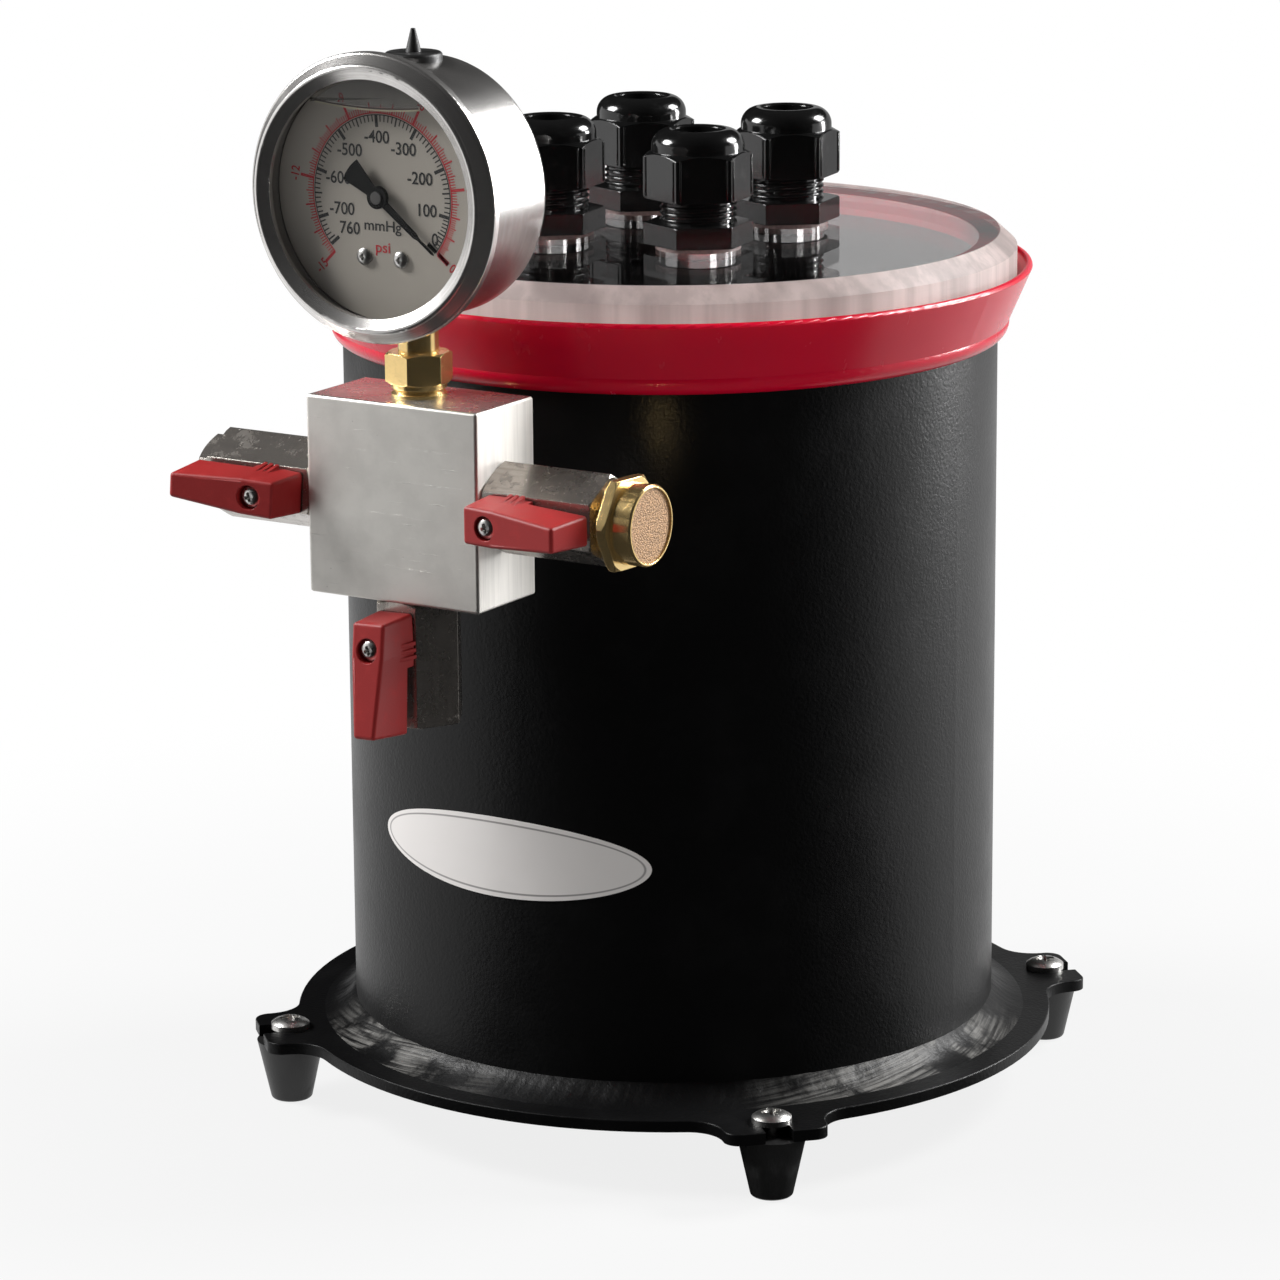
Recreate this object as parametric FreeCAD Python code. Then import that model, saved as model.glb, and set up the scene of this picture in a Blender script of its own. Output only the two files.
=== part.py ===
import os
import math
import FreeCAD
import Part

Vec = FreeCAD.Vector
X_AXIS = Vec(1, 0, 0)
Y_AXIS = Vec(0, 1, 0)
Z_AXIS = Vec(0, 0, 1)
ORIGIN = Vec(0, 0, 0)

# Driving sizes in millimetres. The frame stands on the floor at z = 0, the vessel axis is
# the Z axis, and the manifold block and the gauge face -Y.

# Clearances between pieces
fit_gap = 0.05
running_gap = 0.06
lift_gap = 0.3

# Vessel: a piece of 6 inch pipe welded to a laser-cut plate on four rubber feet
vessel_outer_d = 168.3
vessel_wall = 5.0
vessel_length = 188.5
foot_height = 16.0
foot_top_d = 17.5
foot_bottom_d = 10.5
foot_edge_r = 1.0
plate_thick = 3.0
plate_margin = 15.35
plate_edge_r = 0.4
ear_count = 4
ear_screw_out = 3.6
ear_tip_out = 11.3
ear_width = 26.4
ear_corner_r = 4.0
ear_root_r = 9.0
ear_slot_width = 7.0
foot_screw_d = 5.0
foot_screw_length = 9.0
foot_screw_head_d = 10.0
foot_screw_head_h = 2.6
foot_bush_d = 8.0
foot_bush_length = 9.0
weld_width = 8.4
weld_height = 5.0
weld_hollow = 0.75
label_width = 79.0
label_height = 20.6
label_thick = 0.25
label_mid_z = 79.1

# Silicone gasket around the rim, and the clear lid of half inch acrylic that lies in it
gasket_web = 5.4
gasket_grip = 8.8
gasket_skirt = 2.9
gasket_skirt_round = 4.3
gasket_lip_wall = 2.0
gasket_lip_rise = 4.6
gasket_lip_lean = 1.7
lid_overhang = 4.8
lid_thick = 12.7
lid_chamfer_h = 4.0
lid_chamfer_w = 4.4
lid_edge_r = 0.5
lid_gap = 0.25

# Hose glands in the lid, M20 size with 24 mm hexagons
gland_circle_d = 61.8
gland_count = 4
gland_thread_d = 19.5
gland_root_d = 18.3
gland_screw_in = 10.0
gland_bore_d = 13.0
gland_hex_af = 24.0
gland_hex_turn = 38.0
gland_flange_chamfer = 0.3
gland_washer_d = 21.5
gland_washer_h = 1.3
gland_flange_h = 5.4
gland_open_thread_h = 6.1
gland_nut_thread_h = 7.2
gland_claw_h = 4.0
gland_claw_wall = 0.9
gland_claw_lean = 0.7
gland_claw_count = 8
gland_claw_slot = 0.9
gland_cup_d = 16.0
gland_cup_floor = 1.4
gland_nut_height = 17.2
gland_nut_hex_h = 11.3
gland_nut_chamfer = 0.8
gland_nut_edge = 0.5
gland_dome_d = 23.3
gland_dome_r = 4.3
gland_hole_d = 12.9
gland_seal_bore_d = 10.5
gland_seal_edge = 0.8

# Manifold block of drilled aluminium in front of the vessel
block_w = 49.0
block_h = 48.6
block_t = 25.0
block_standoff = 18.05
block_drop = 30.0
block_edge_r = 0.8
valve_axis_in = 10.7
port_d = 13.0
port_depth = 10.0
thread_short = 0.5
thread_lead = 0.7
passage_d = 8.0
gauge_passage_d = 5.0
nipple_reach_in = 1.2
nipple_weld_w = 3.2

# Mini ball valves with a lever handle on the front. Lengths run outward along the pipe and
# are taken from the middle of the ball.
valve_reach = 9.4
valve_hex_af = 19.4
valve_body_end = 21.4
valve_chamfer = 0.95
valve_end_chamfer = 0.4
valve_bore_d = 7.0
valve_ball_d = 12.8
valve_seat_thick = 2.8
valve_end_room = 0.8
valve_insert_af = 15.8
valve_insert_flange = 4.4
valve_port_d = 11.4
valve_port_depth = 11.0
stem_d = 6.0
stem_square = 4.4
stem_tongue_w = 2.0
stem_tongue_l = 5.0
stem_tongue_h = 1.3
handle_hub_end = -6.2
handle_tip = 21.0
handle_taper_from = 2.0
handle_hub_w = 8.6
handle_tip_w = 6.0
handle_hub_draft = 0.8
handle_tip_draft = 1.6
handle_side_draft = 0.8
handle_hub_rise = 11.55
handle_tip_rise = 16.0
handle_hollow_from = 7.0
handle_skirt_from = 5.8
handle_skirt_lift = 2.5
handle_wall = 1.2
handle_face_wall = 2.0
handle_edge_r = 0.9
handle_rib_count = 3
handle_rib_pitch = 1.65
handle_rib_first = -0.4
handle_rib_w = 0.9
handle_rib_rise = 0.9
handle_rib_length = 8.5
handle_screw_pocket_d = 6.0
handle_screw_head_d = 5.2
handle_screw_head_h = 1.6
handle_screw_sunk = 0.5
handle_screw_land = 0.9
handle_screw_d = 2.4
handle_screw_bite = 4.0
handle_screw_turn = 20.0
left_lever_off_deg = -4.4
bottom_lever_off_deg = 2.2

# Bronze silencer on the right-hand valve
silencer_thread_length = 9.0
silencer_collar_d = 16.0
silencer_collar_h = 2.7
silencer_hex_af = 21.4
silencer_hex_h = 2.6
silencer_hex_turn = 28.0
silencer_hex_chamfer = 0.6
silencer_cap_d = 19.5
silencer_cap_h = 5.6
silencer_cap_edge = 0.4
silencer_rim = 0.8
silencer_disc_sunk = 0.5
silencer_disc_thick = 1.8

# Vacuum gauge of 63 mm size with a bottom stem. Set-backs run back from its front crest.
gauge_rise = 49.8
gauge_depth = 31.2
gauge_stem_in = 21.5
bezel_outer_d = 68.8
bezel_crest_d = 63.8
bezel_window_d = 56.4
bezel_slope = 2.8
bezel_depth = 5.8
bezel_edge = 0.5
window_d = 60.8
window_thick = 1.6
window_set_back = 2.6
case_outer_d = 62.0
case_wall = 1.2
case_edge_r = 1.6
dial_d = 59.2
dial_thick = 0.8
dial_set_back = 7.5
dial_screw_d = 4.0
dial_screw_h = 1.1
dial_screw_shank_d = 2.0
dial_screw_apart = 10.4
dial_screw_drop = 14.6
pointer_set_back = 5.4
pointer_thick = 0.4
pointer_hub_d = 5.4
pointer_hub_h = 1.2
pointer_hub_rise = 0.35
pointer_tip_r = 20.0
pointer_blade_r = 13.4
pointer_shoulder = 1.1
pointer_blade_w = 1.9
pointer_blade_end_w = 1.4
pointer_needle_w = 0.6
pointer_tail_r = 10.3
pointer_tail_half_deg = 17.5
pointer_rest_deg = 128.5
spindle_d = 2.0
spindle_cap_d = 3.0
spindle_cap_h = 0.4
movement_w = 22.0
movement_up = 12.0
movement_down = 18.0
movement_plate = 1.4
movement_depth = 9.0
movement_pillar_d = 3.2
movement_pillar_in = 3.0
stem_collar_d = 13.4
stem_collar_h = 3.2
stem_collar_groove = 0.7
stem_hex_af = 14.2
stem_hex_h = 7.5
stem_hex_turn = 44.0
stem_hex_chamfer = 0.6
stem_neck_d = 9.9
stem_flare_d = 15.0
stem_flare_h = 3.0
stem_core_w = 11.0
stem_core_up = 9.0
plug_flange_d = 13.8
plug_flange_rise = 1.5
plug_flange_edge = 0.9
plug_neck_d = 8.0
plug_spike_d = 3.8
plug_spike_tip_d = 1.1
plug_spike_h = 5.5

# Levels and radii that follow from the driving sizes
past = 1.0
vessel_r = vessel_outer_d / 2
vessel_inner_r = vessel_r - vessel_wall
plate_r = vessel_r + plate_margin
ear_screw_r = plate_r + ear_screw_out
ear_tip_r = plate_r + ear_tip_out
plate_top_z = foot_height + plate_thick
rim_z = plate_top_z + vessel_length
lid_r = vessel_r + lid_overhang
lid_bottom_z = rim_z + gasket_web
lid_top_z = lid_bottom_z + lid_thick
block_back_y = -vessel_r - block_standoff
block_front_y = block_back_y - block_t
block_mid_z = rim_z - block_drop
block_top_z = block_mid_z + block_h / 2
valve_axis_y = block_front_y + valve_axis_in
gauge_axis_y = block_front_y + block_t / 2
gauge_front_y = gauge_axis_y - gauge_stem_in
gauge_mid_z = block_top_z + gauge_rise
port_r = port_d / 2 + fit_gap
thread_r = port_d / 2
thread_end = port_depth - thread_short


def cyl(radius, start, direction, length):
    return Part.makeCylinder(radius, length, start, direction)


def ring(outer_r, inner_r, start, direction, length):
    hole = cyl(inner_r, start - direction * past, direction, length + 2 * past)
    return cyl(outer_r, start, direction, length).cut(hole)


def box(x0, x1, y0, y1, z0, z1):
    return Part.makeBox(x1 - x0, y1 - y0, z1 - z0, Vec(x0, y0, z0))


def outline(start, *steps):
    """Closed face in the XZ plane. Each step is the next corner (x, z), or a pair that holds
    the middle and the end of an arc."""
    edges = []
    here = Vec(start[0], 0, start[1])
    for step in steps + (start,):
        arc = isinstance(step[0], tuple)
        corner = step[1] if arc else step
        there = Vec(corner[0], 0, corner[1])
        if arc:
            middle = Vec(step[0][0], 0, step[0][1])
            edges.append(Part.Arc(here, middle, there).toShape())
        elif (there - here).Length > 1e-6:
            edges.append(Part.makeLine(here, there))
        here = there
    return Part.Face(Part.Wire(edges))


def placed(shape, start, direction):
    """Carry a shape built along Z to an axis that leaves start along direction."""
    moved = shape.copy()
    there = FreeCAD.Placement(start, FreeCAD.Rotation(Z_AXIS, direction))
    moved.Placement = there.multiply(shape.Placement)
    return moved


def in_axes(shape, start, x_dir, y_dir):
    """Carry a shape from its own axes to the given ones."""
    z_dir = x_dir.cross(y_dir)
    turn = FreeCAD.Matrix(
        x_dir.x, y_dir.x, z_dir.x, start.x,
        x_dir.y, y_dir.y, z_dir.y, start.y,
        x_dir.z, y_dir.z, z_dir.z, start.z,
        0, 0, 0, 1)
    moved = shape.copy()
    moved.Placement = FreeCAD.Placement(turn).multiply(shape.Placement)
    return moved


def turned(start, *steps):
    """Solid turned about Z from a section of (radius, height) corners and arcs."""
    return outline(start, *steps).revolve(ORIGIN, Z_AXIS, 360)


def corner_r(across_flats):
    return across_flats / math.sqrt(3)


def hex_prism(across_flats, height, turn_deg=0.0):
    """Hexagonal prism along Z from z = 0, with the flat at +X turned by turn_deg."""
    corners = []
    for k in range(6):
        a = math.radians(30 + 60 * k + turn_deg)
        corners.append(Vec(math.cos(a), math.sin(a), 0) * corner_r(across_flats))
    wire = Part.makePolygon(corners + [corners[0]])
    return Part.Face(wire).extrude(Vec(0, 0, height))


def turned_hex(across_flats, height, turn_deg, low, high):
    """Hexagonal prism whose corners are turned off by 30 degree cones, low and high deep."""
    outer = corner_r(across_flats) + fit_gap
    slope = math.tan(math.radians(30))
    cone = turned((0, 0), (outer - low / slope, 0), (outer, low + 0.001),
                  (outer, height - high - 0.001), (outer - high / slope, height), (0, height))
    return hex_prism(across_flats, height, turn_deg).common(cone)


def plan_prism(corners, y0, y1):
    """Extrude corners given as (x, z) along Y from y0 to y1."""
    face = outline(corners[0], *corners[1:])
    face.translate(Vec(0, y0, 0))
    return face.extrude(Vec(0, y1 - y0, 0))


def side_prism(corners, width):
    """Extrude corners given as (x, y) to both sides of the plane z = 0."""
    points = [Vec(x, y, -width / 2) for x, y in corners]
    return Part.Face(Part.makePolygon(points + [points[0]])).extrude(Vec(0, 0, width))


def cross_recess(size, depth):
    """Cross recess that is cut downward from z = 0."""
    arm = size * 0.32
    slot = box(-size / 2, size / 2, -arm / 2, arm / 2, -depth, past)
    cross = slot.fuse(slot.rotated(ORIGIN, Z_AXIS, 90))
    taper = Part.makeCone(size * 0.2, size * 0.62, depth + past, Vec(0, 0, -depth))
    return cross.common(taper)


def pan_screw(head_d, head_h, shank_d, shank_l):
    """Pan head screw along Z: the underside of the head lies on z = 0."""
    head_r = head_d / 2
    brim = head_h * 0.55
    crown = ((head_r * 0.72, head_h * 0.9), (0, head_h))
    solid = turned((0, -shank_l), (shank_d / 2, -shank_l), (shank_d / 2, 0), (head_r, 0),
                   (head_r, brim), crown)
    recess = cross_recess(head_d * 0.56, head_h * 0.6)
    recess.translate(Vec(0, 0, head_h))
    return solid.cut(recess)


def around(shape, degrees):
    """Copy a shape built at the -Y side to another place around the vessel axis."""
    return shape.rotated(ORIGIN, Z_AXIS, degrees)


def ear_angles():
    return [360.0 / ear_count * (k + 0.5) for k in range(ear_count)]


# Vessel, base plate and its feet

def make_vessel_tube():
    tube = ring(vessel_r, vessel_inner_r, Vec(0, 0, plate_top_z), Z_AXIS, vessel_length)
    outlet = cyl(port_r, Vec(0, -vessel_r - past, block_mid_z), Y_AXIS,
                 vessel_wall + nipple_reach_in + 2 * past)
    return tube.cut(outlet)


def make_base_plate():
    plate = cyl(plate_r, Vec(0, 0, foot_height), Z_AXIS, plate_thick)
    half = ear_width / 2
    for k in ear_angles():
        plate = plate.fuse(around(box(-half, half, -ear_tip_r, 0, foot_height, plate_top_z), k))
    plate = plate.removeSplitter()
    plate = plate.makeFillet(ear_root_r, upright_edges(plate, 0, plate_r + past))
    plate = plate.makeFillet(ear_corner_r, upright_edges(plate, ear_tip_r - past, 2 * plate_r))
    top = [e for e in plate.Edges if e.BoundBox.ZMin > plate_top_z - 0.01]
    plate = plate.makeFillet(plate_edge_r, top)
    slot_r = ear_slot_width / 2
    low, high = foot_height - past, plate_top_z + past
    slot = box(-slot_r, slot_r, -ear_tip_r - past, -ear_screw_r, low, high)
    slot = slot.fuse(cyl(slot_r, Vec(0, -ear_screw_r, low), Z_AXIS, high - low))
    for k in ear_angles():
        plate = plate.cut(around(slot, k))
    return plate


def upright_edges(plate, near, far):
    """Straight upright edges of the plate between two radii: the corners of its outline."""
    found = []
    for edge in plate.Edges:
        spread = math.hypot(edge.BoundBox.XLength, edge.BoundBox.YLength)
        radius = math.hypot(edge.Vertexes[0].X, edge.Vertexes[0].Y)
        if spread < 0.01 and near < radius < far and edge.BoundBox.ZLength > plate_thick / 2:
            if abs(math.degrees(math.atan2(edge.Vertexes[0].Y, edge.Vertexes[0].X))) > 0.01:
                found.append(edge)
    return found


def make_base_weld():
    outer = Vec(vessel_r + weld_width, 0, plate_top_z)
    top = Vec(vessel_r, 0, plate_top_z + weld_height)
    corner = Vec(vessel_r, 0, plate_top_z)
    middle = (outer + top) * 0.5
    middle = middle + (corner - middle).normalize() * weld_hollow
    return turned((corner.x, corner.z), (outer.x, outer.z),
                  ((middle.x, middle.z), (top.x, top.z)))


def make_foot(degrees):
    low_r = foot_bottom_d / 2
    top_r = foot_top_d / 2
    cone = Part.makeCone(low_r, top_r, foot_height)
    rim = [e for e in cone.Edges if e.BoundBox.ZMax < 0.01]
    foot = cone.makeFillet(foot_edge_r, rim)
    foot = foot.cut(cyl(foot_bush_d / 2, Vec(0, 0, foot_height - foot_bush_length), Z_AXIS,
                        foot_bush_length + past))
    foot.translate(Vec(0, -ear_screw_r, 0))
    return around(foot, degrees)


def make_foot_bushes():
    bush = ring(foot_bush_d / 2, foot_screw_d / 2 + fit_gap,
                Vec(0, -ear_screw_r, foot_height - foot_bush_length), Z_AXIS, foot_bush_length)
    return Part.makeCompound([around(bush, k) for k in ear_angles()])


def make_foot_screws():
    screw = pan_screw(foot_screw_head_d, foot_screw_head_h, foot_screw_d, foot_screw_length)
    screw.translate(Vec(0, -ear_screw_r, plate_top_z))
    return Part.makeCompound([around(screw, k) for k in ear_angles()])


def make_vessel_label():
    """Oval sheet wrapped on the vessel under the manifold."""
    sheet = ring(vessel_r + label_thick, vessel_r, Vec(0, 0, plate_top_z), Z_AXIS,
                 vessel_length)
    oval = Part.Ellipse(ORIGIN, label_width / 2, label_height / 2).toShape()
    prism = Part.Face(Part.Wire(oval)).extrude(Vec(0, 0, vessel_r + 2 * past))
    return sheet.common(in_axes(prism, Vec(0, 0, label_mid_z), X_AXIS, Z_AXIS))


# Gasket and lid

def make_rim_gasket():
    low = rim_z - gasket_grip
    waist = (vessel_r + gasket_skirt, low + gasket_skirt_round)
    swell = (vessel_r + gasket_skirt * 0.78, low + gasket_skirt_round * 0.34)
    seat_r = lid_r + lid_gap
    lip_top = lid_bottom_z + gasket_lip_rise
    lip_in = seat_r + gasket_lip_lean
    lip_out = lip_in + gasket_lip_wall
    round_r = gasket_lip_wall / 2
    return turned((vessel_r, low), (swell, waist), (lip_out, lip_top - round_r),
                  ((lip_in + round_r, lip_top), (lip_in, lip_top - round_r)),
                  (seat_r, lid_bottom_z), (vessel_inner_r, lid_bottom_z),
                  (vessel_inner_r, rim_z), (vessel_r, rim_z))


def gland_centres():
    centres = []
    for k in range(gland_count):
        a = 2 * math.pi / gland_count * (k + 0.5)
        centres.append(Vec(math.sin(a), -math.cos(a), 0) * (gland_circle_d / 2)
                       + Vec(0, 0, lid_top_z))
    return centres


def make_lid():
    lid = turned((0, lid_bottom_z), (lid_r - lid_edge_r, lid_bottom_z),
                 (lid_r, lid_bottom_z + lid_edge_r), (lid_r, lid_top_z - lid_chamfer_h),
                 (lid_r - lid_chamfer_w, lid_top_z), (0, lid_top_z))
    for centre in gland_centres():
        lid = lid.cut(cyl(gland_thread_d / 2 + fit_gap,
                          centre - Z_AXIS * (lid_thick + past), Z_AXIS, lid_thick + 2 * past))
    return lid


# Hose glands, built with z = 0 at the top of the lid

gland_hex_low = gland_washer_h
gland_hex_high = gland_hex_low + gland_flange_h
gland_nut_low = gland_hex_high + gland_open_thread_h
gland_nut_high = gland_nut_low + gland_nut_height
gland_thread_high = gland_nut_low + gland_nut_thread_h
gland_claw_high = gland_thread_high + gland_claw_h
gland_cup_low = gland_hex_high + gland_cup_floor
gland_crest_r = gland_thread_d / 2
gland_claw_r = gland_cup_d / 2 + gland_claw_wall


def make_gland_body():
    """Body with its lower thread, hexagon, upper thread, clamping claws and seal cup. The
    thread that stays open to view is at its root diameter."""
    bore_r = gland_bore_d / 2
    root_r = gland_root_d / 2
    cup_r = gland_cup_d / 2
    body = turned((bore_r, -gland_screw_in), (gland_crest_r - thread_lead, -gland_screw_in),
                  (gland_crest_r, -gland_screw_in + thread_lead), (gland_crest_r, gland_hex_high),
                  (root_r, gland_hex_high), (root_r, gland_nut_low),
                  (gland_crest_r, gland_nut_low + thread_lead),
                  (gland_crest_r, gland_thread_high), (gland_claw_r, gland_thread_high),
                  (gland_claw_r - gland_claw_lean, gland_claw_high), (cup_r, gland_claw_high),
                  (cup_r, gland_cup_low), (bore_r, gland_cup_low))
    flange = turned_hex(gland_hex_af, gland_flange_h, gland_hex_turn - 90, 0,
                        gland_flange_chamfer)
    flange = flange.cut(cyl(root_r, ORIGIN, Z_AXIS, gland_flange_h))
    flange.translate(Vec(0, 0, gland_hex_low))
    body = body.fuse(flange).removeSplitter()
    slot = box(0, gland_thread_d, -gland_claw_slot / 2, gland_claw_slot / 2,
               gland_thread_high, gland_claw_high + past)
    for k in range(gland_claw_count):
        body = body.cut(slot.rotated(ORIGIN, Z_AXIS, 360.0 / gland_claw_count * k))
    return body


def make_gland_nut():
    """Domed clamping nut, hollow, with a cone inside that closes the claws."""
    outer = corner_r(gland_hex_af)
    dome_out = gland_dome_d / 2
    cone_h = (outer - dome_out) * math.tan(math.radians(30))
    cone_low = gland_nut_low + gland_nut_hex_h - gland_nut_chamfer
    edge = gland_nut_edge
    nut = hex_prism(gland_hex_af, cone_low + cone_h - gland_nut_low, gland_hex_turn - 90)
    nut.translate(Vec(0, 0, gland_nut_low))
    nut = nut.common(turned((0, gland_nut_low), (outer - edge, gland_nut_low),
                            (outer, gland_nut_low + edge), (outer, cone_low),
                            (dome_out, cone_low + cone_h), (0, cone_low + cone_h)))
    dome = cyl(dome_out, Vec(0, 0, cone_low), Z_AXIS, gland_nut_high - cone_low)
    crown = [e for e in dome.Edges if e.BoundBox.ZMin > gland_nut_high - 0.01]
    nut = nut.fuse(dome.makeFillet(gland_dome_r, crown))
    bore_r = gland_crest_r + running_gap
    hole_r = gland_hole_d / 2
    claw_in = gland_claw_r - gland_claw_lean + lift_gap
    inside = turned((0, gland_nut_low - past), (bore_r + edge, gland_nut_low - past),
                    (bore_r + edge, gland_nut_low), (bore_r, gland_nut_low + edge),
                    (bore_r, gland_thread_high + lift_gap),
                    (gland_claw_r + lift_gap, gland_thread_high + 2 * lift_gap),
                    (claw_in, gland_claw_high + lift_gap),
                    (hole_r, gland_claw_high + lift_gap + (claw_in - hole_r) * 0.8),
                    (hole_r, gland_nut_high - edge), (hole_r + edge, gland_nut_high),
                    (hole_r + edge, gland_nut_high + past), (0, gland_nut_high + past))
    return nut.cut(inside)


def make_gland_seal():
    outer = gland_cup_d / 2 - fit_gap
    hole = gland_seal_bore_d / 2
    edge = gland_seal_edge
    return turned((hole + edge, gland_cup_low), (outer, gland_cup_low),
                  (outer, gland_claw_high - edge), (outer - edge, gland_claw_high),
                  (hole + edge, gland_claw_high), (hole, gland_claw_high - edge),
                  (hole, gland_cup_low + edge))


def make_gland_washer():
    return ring(gland_washer_d / 2, gland_crest_r + fit_gap, ORIGIN, Z_AXIS, gland_washer_h)


def at_each_gland(shape):
    copies = []
    for centre in gland_centres():
        one = shape.copy()
        one.translate(centre)
        copies.append(one)
    return copies


# Manifold block and the nipple that carries it

def port(start, inward, passage_r, passage_l):
    """Round port that runs inward from a face, with the narrower passage beyond it."""
    mouth = cyl(port_r, start - inward * past, inward, port_depth + past)
    return mouth.fuse(cyl(passage_r, start, inward, passage_l))


def make_block():
    half = block_w / 2
    low = block_mid_z - block_h / 2
    block = box(-half, half, block_front_y, block_back_y, low, block_top_z)
    block = block.makeFillet(block_edge_r, block.Edges)
    passage_r = passage_d / 2
    for side in (-1, 1):
        block = block.cut(port(Vec(side * half, valve_axis_y, block_mid_z), X_AXIS * -side,
                               passage_r, half))
    block = block.cut(port(Vec(0, valve_axis_y, low), Z_AXIS, passage_r, block_h / 2))
    block = block.cut(port(Vec(0, block_back_y, block_mid_z), Y_AXIS * -1, passage_r,
                           block_back_y - valve_axis_y))
    return block.cut(port(Vec(0, gauge_axis_y, block_top_z), Z_AXIS * -1,
                          gauge_passage_d / 2, block_h / 2))


def make_nipple():
    start = Vec(0, block_back_y - port_depth, block_mid_z)
    reach = -vessel_inner_r + nipple_reach_in - start.y
    return ring(thread_r, passage_d / 2, start, Y_AXIS, reach)


def make_nipple_weld():
    wide_r = thread_r + nipple_weld_w
    curve = vessel_r - math.sqrt(vessel_r ** 2 - wide_r ** 2)
    start = Vec(0, -vessel_r - nipple_weld_w, block_mid_z)
    weld = Part.makeCone(thread_r + fit_gap, wide_r, nipple_weld_w + curve, start, Y_AXIS)
    weld = weld.cut(cyl(thread_r, start - Y_AXIS * past, Y_AXIS, nipple_weld_w + 3 * past))
    return weld.cut(cyl(vessel_r, Vec(0, 0, plate_top_z), Z_AXIS, vessel_length))


# Ball valve in its own axes: X runs outward along the pipe, Y along the stem to the handle,
# and the two cross at the middle of the ball

valve_flat = valve_hex_af / 2
valve_ball_r = valve_ball_d / 2
valve_cavity_r = valve_ball_r + lift_gap
valve_shoulder = valve_ball_r + valve_end_room
handle_back = valve_flat + lift_gap


def along_x(shape):
    """Turn a shape built along Z so that it runs along X, and its +X side faces +Y."""
    return in_axes(shape, ORIGIN, Y_AXIS, Z_AXIS)


def make_valve_body():
    body = turned_hex(valve_hex_af, valve_body_end + valve_reach, 0, valve_chamfer,
                      valve_end_chamfer)
    body = body.fuse(cyl(thread_r, Vec(0, 0, -thread_end), Z_AXIS, port_depth))
    body.translate(Vec(0, 0, -valve_reach))
    body = along_x(body)
    start = -valve_reach - port_depth
    body = body.cut(cyl(valve_bore_d / 2, Vec(start, 0, 0), X_AXIS, -start))
    body = body.cut(cyl(valve_cavity_r, Vec(-valve_shoulder, 0, 0), X_AXIS,
                        valve_shoulder + valve_body_end + past))
    return body.cut(cyl(stem_d / 2 + running_gap, ORIGIN, Y_AXIS, valve_flat + past))


def make_valve_insert(flange_h):
    """Tapped end of the valve. It lies flush in the body, or its hexagon stands out."""
    insert = cyl(valve_cavity_r - fit_gap, Vec(0, 0, valve_shoulder), Z_AXIS,
                 valve_body_end - valve_shoulder)
    end = valve_body_end + flange_h
    if flange_h > 0:
        flange = turned_hex(valve_insert_af, flange_h, 0, 0, valve_chamfer)
        flange.translate(Vec(0, 0, valve_body_end))
        insert = insert.fuse(flange)
    insert = along_x(insert)
    insert = insert.cut(cyl(valve_bore_d / 2, ORIGIN, X_AXIS, end))
    return insert.cut(cyl(valve_port_d / 2, Vec(end - valve_port_depth, 0, 0), X_AXIS,
                          valve_port_depth + past))


def make_valve_seats():
    seat = ring(valve_cavity_r - fit_gap, valve_bore_d / 2,
                Vec(valve_shoulder - valve_seat_thick, 0, 0), X_AXIS, valve_seat_thick)
    seat = seat.cut(Part.makeSphere(valve_ball_r + running_gap))
    return Part.makeCompound([seat, seat.rotated(ORIGIN, Y_AXIS, 180)])


def stem_tongue():
    low = valve_ball_r - stem_tongue_h
    return box(-stem_tongue_l / 2, stem_tongue_l / 2, low, valve_ball_r + running_gap,
               -stem_tongue_w / 2, stem_tongue_w / 2)


def make_valve_ball():
    ball = Part.makeSphere(valve_ball_r)
    ball = ball.cut(cyl(valve_bore_d / 2, Vec(-valve_ball_d, 0, 0), X_AXIS, 2 * valve_ball_d))
    return ball.cut(stem_tongue())


def handle_face_at(x):
    share = (x - handle_hub_end) / (handle_tip - handle_hub_end)
    return valve_flat + handle_hub_rise + share * (handle_tip_rise - handle_hub_rise)


def handle_width_at(x):
    share = (x - handle_taper_from) / (handle_tip - handle_taper_from)
    return handle_hub_w + share * (handle_tip_w - handle_hub_w)


handle_floor = handle_face_at(0) - handle_screw_sunk - handle_screw_head_h
stem_top = handle_floor - handle_screw_land


def make_valve_stem():
    low = valve_ball_r + running_gap
    half = stem_square / 2
    stem = cyl(stem_d / 2, Vec(0, low, 0), Y_AXIS, handle_back - low)
    stem = stem.fuse(box(-half, half, valve_flat, stem_top, -half, half))
    stem = stem.fuse(stem_tongue()).removeSplitter()
    return stem.cut(cyl(handle_screw_d / 2, Vec(0, stem_top - handle_screw_bite, 0), Y_AXIS,
                        handle_screw_bite + past))


def handle_outline(y):
    """Wire round the lever at a distance y from the pipe's axis. Draft widens it toward the
    back, and its sides keep one taper."""
    front = valve_flat + handle_tip_rise
    grow = (front - y) / (front - handle_back)
    near = handle_hub_end - grow * handle_hub_draft
    far = handle_tip + grow * handle_tip_draft
    half = handle_hub_w / 2 + grow * handle_side_draft
    taper = (handle_hub_w - handle_tip_w) / 2 / (handle_tip - handle_taper_from)
    half_far = half - taper * (far - handle_taper_from)
    corners = [Vec(near, y, -half), Vec(handle_taper_from, y, -half), Vec(far, y, -half_far),
               Vec(far, y, half_far), Vec(handle_taper_from, y, half), Vec(near, y, half)]
    return Part.makePolygon(corners + [corners[0]])


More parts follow.
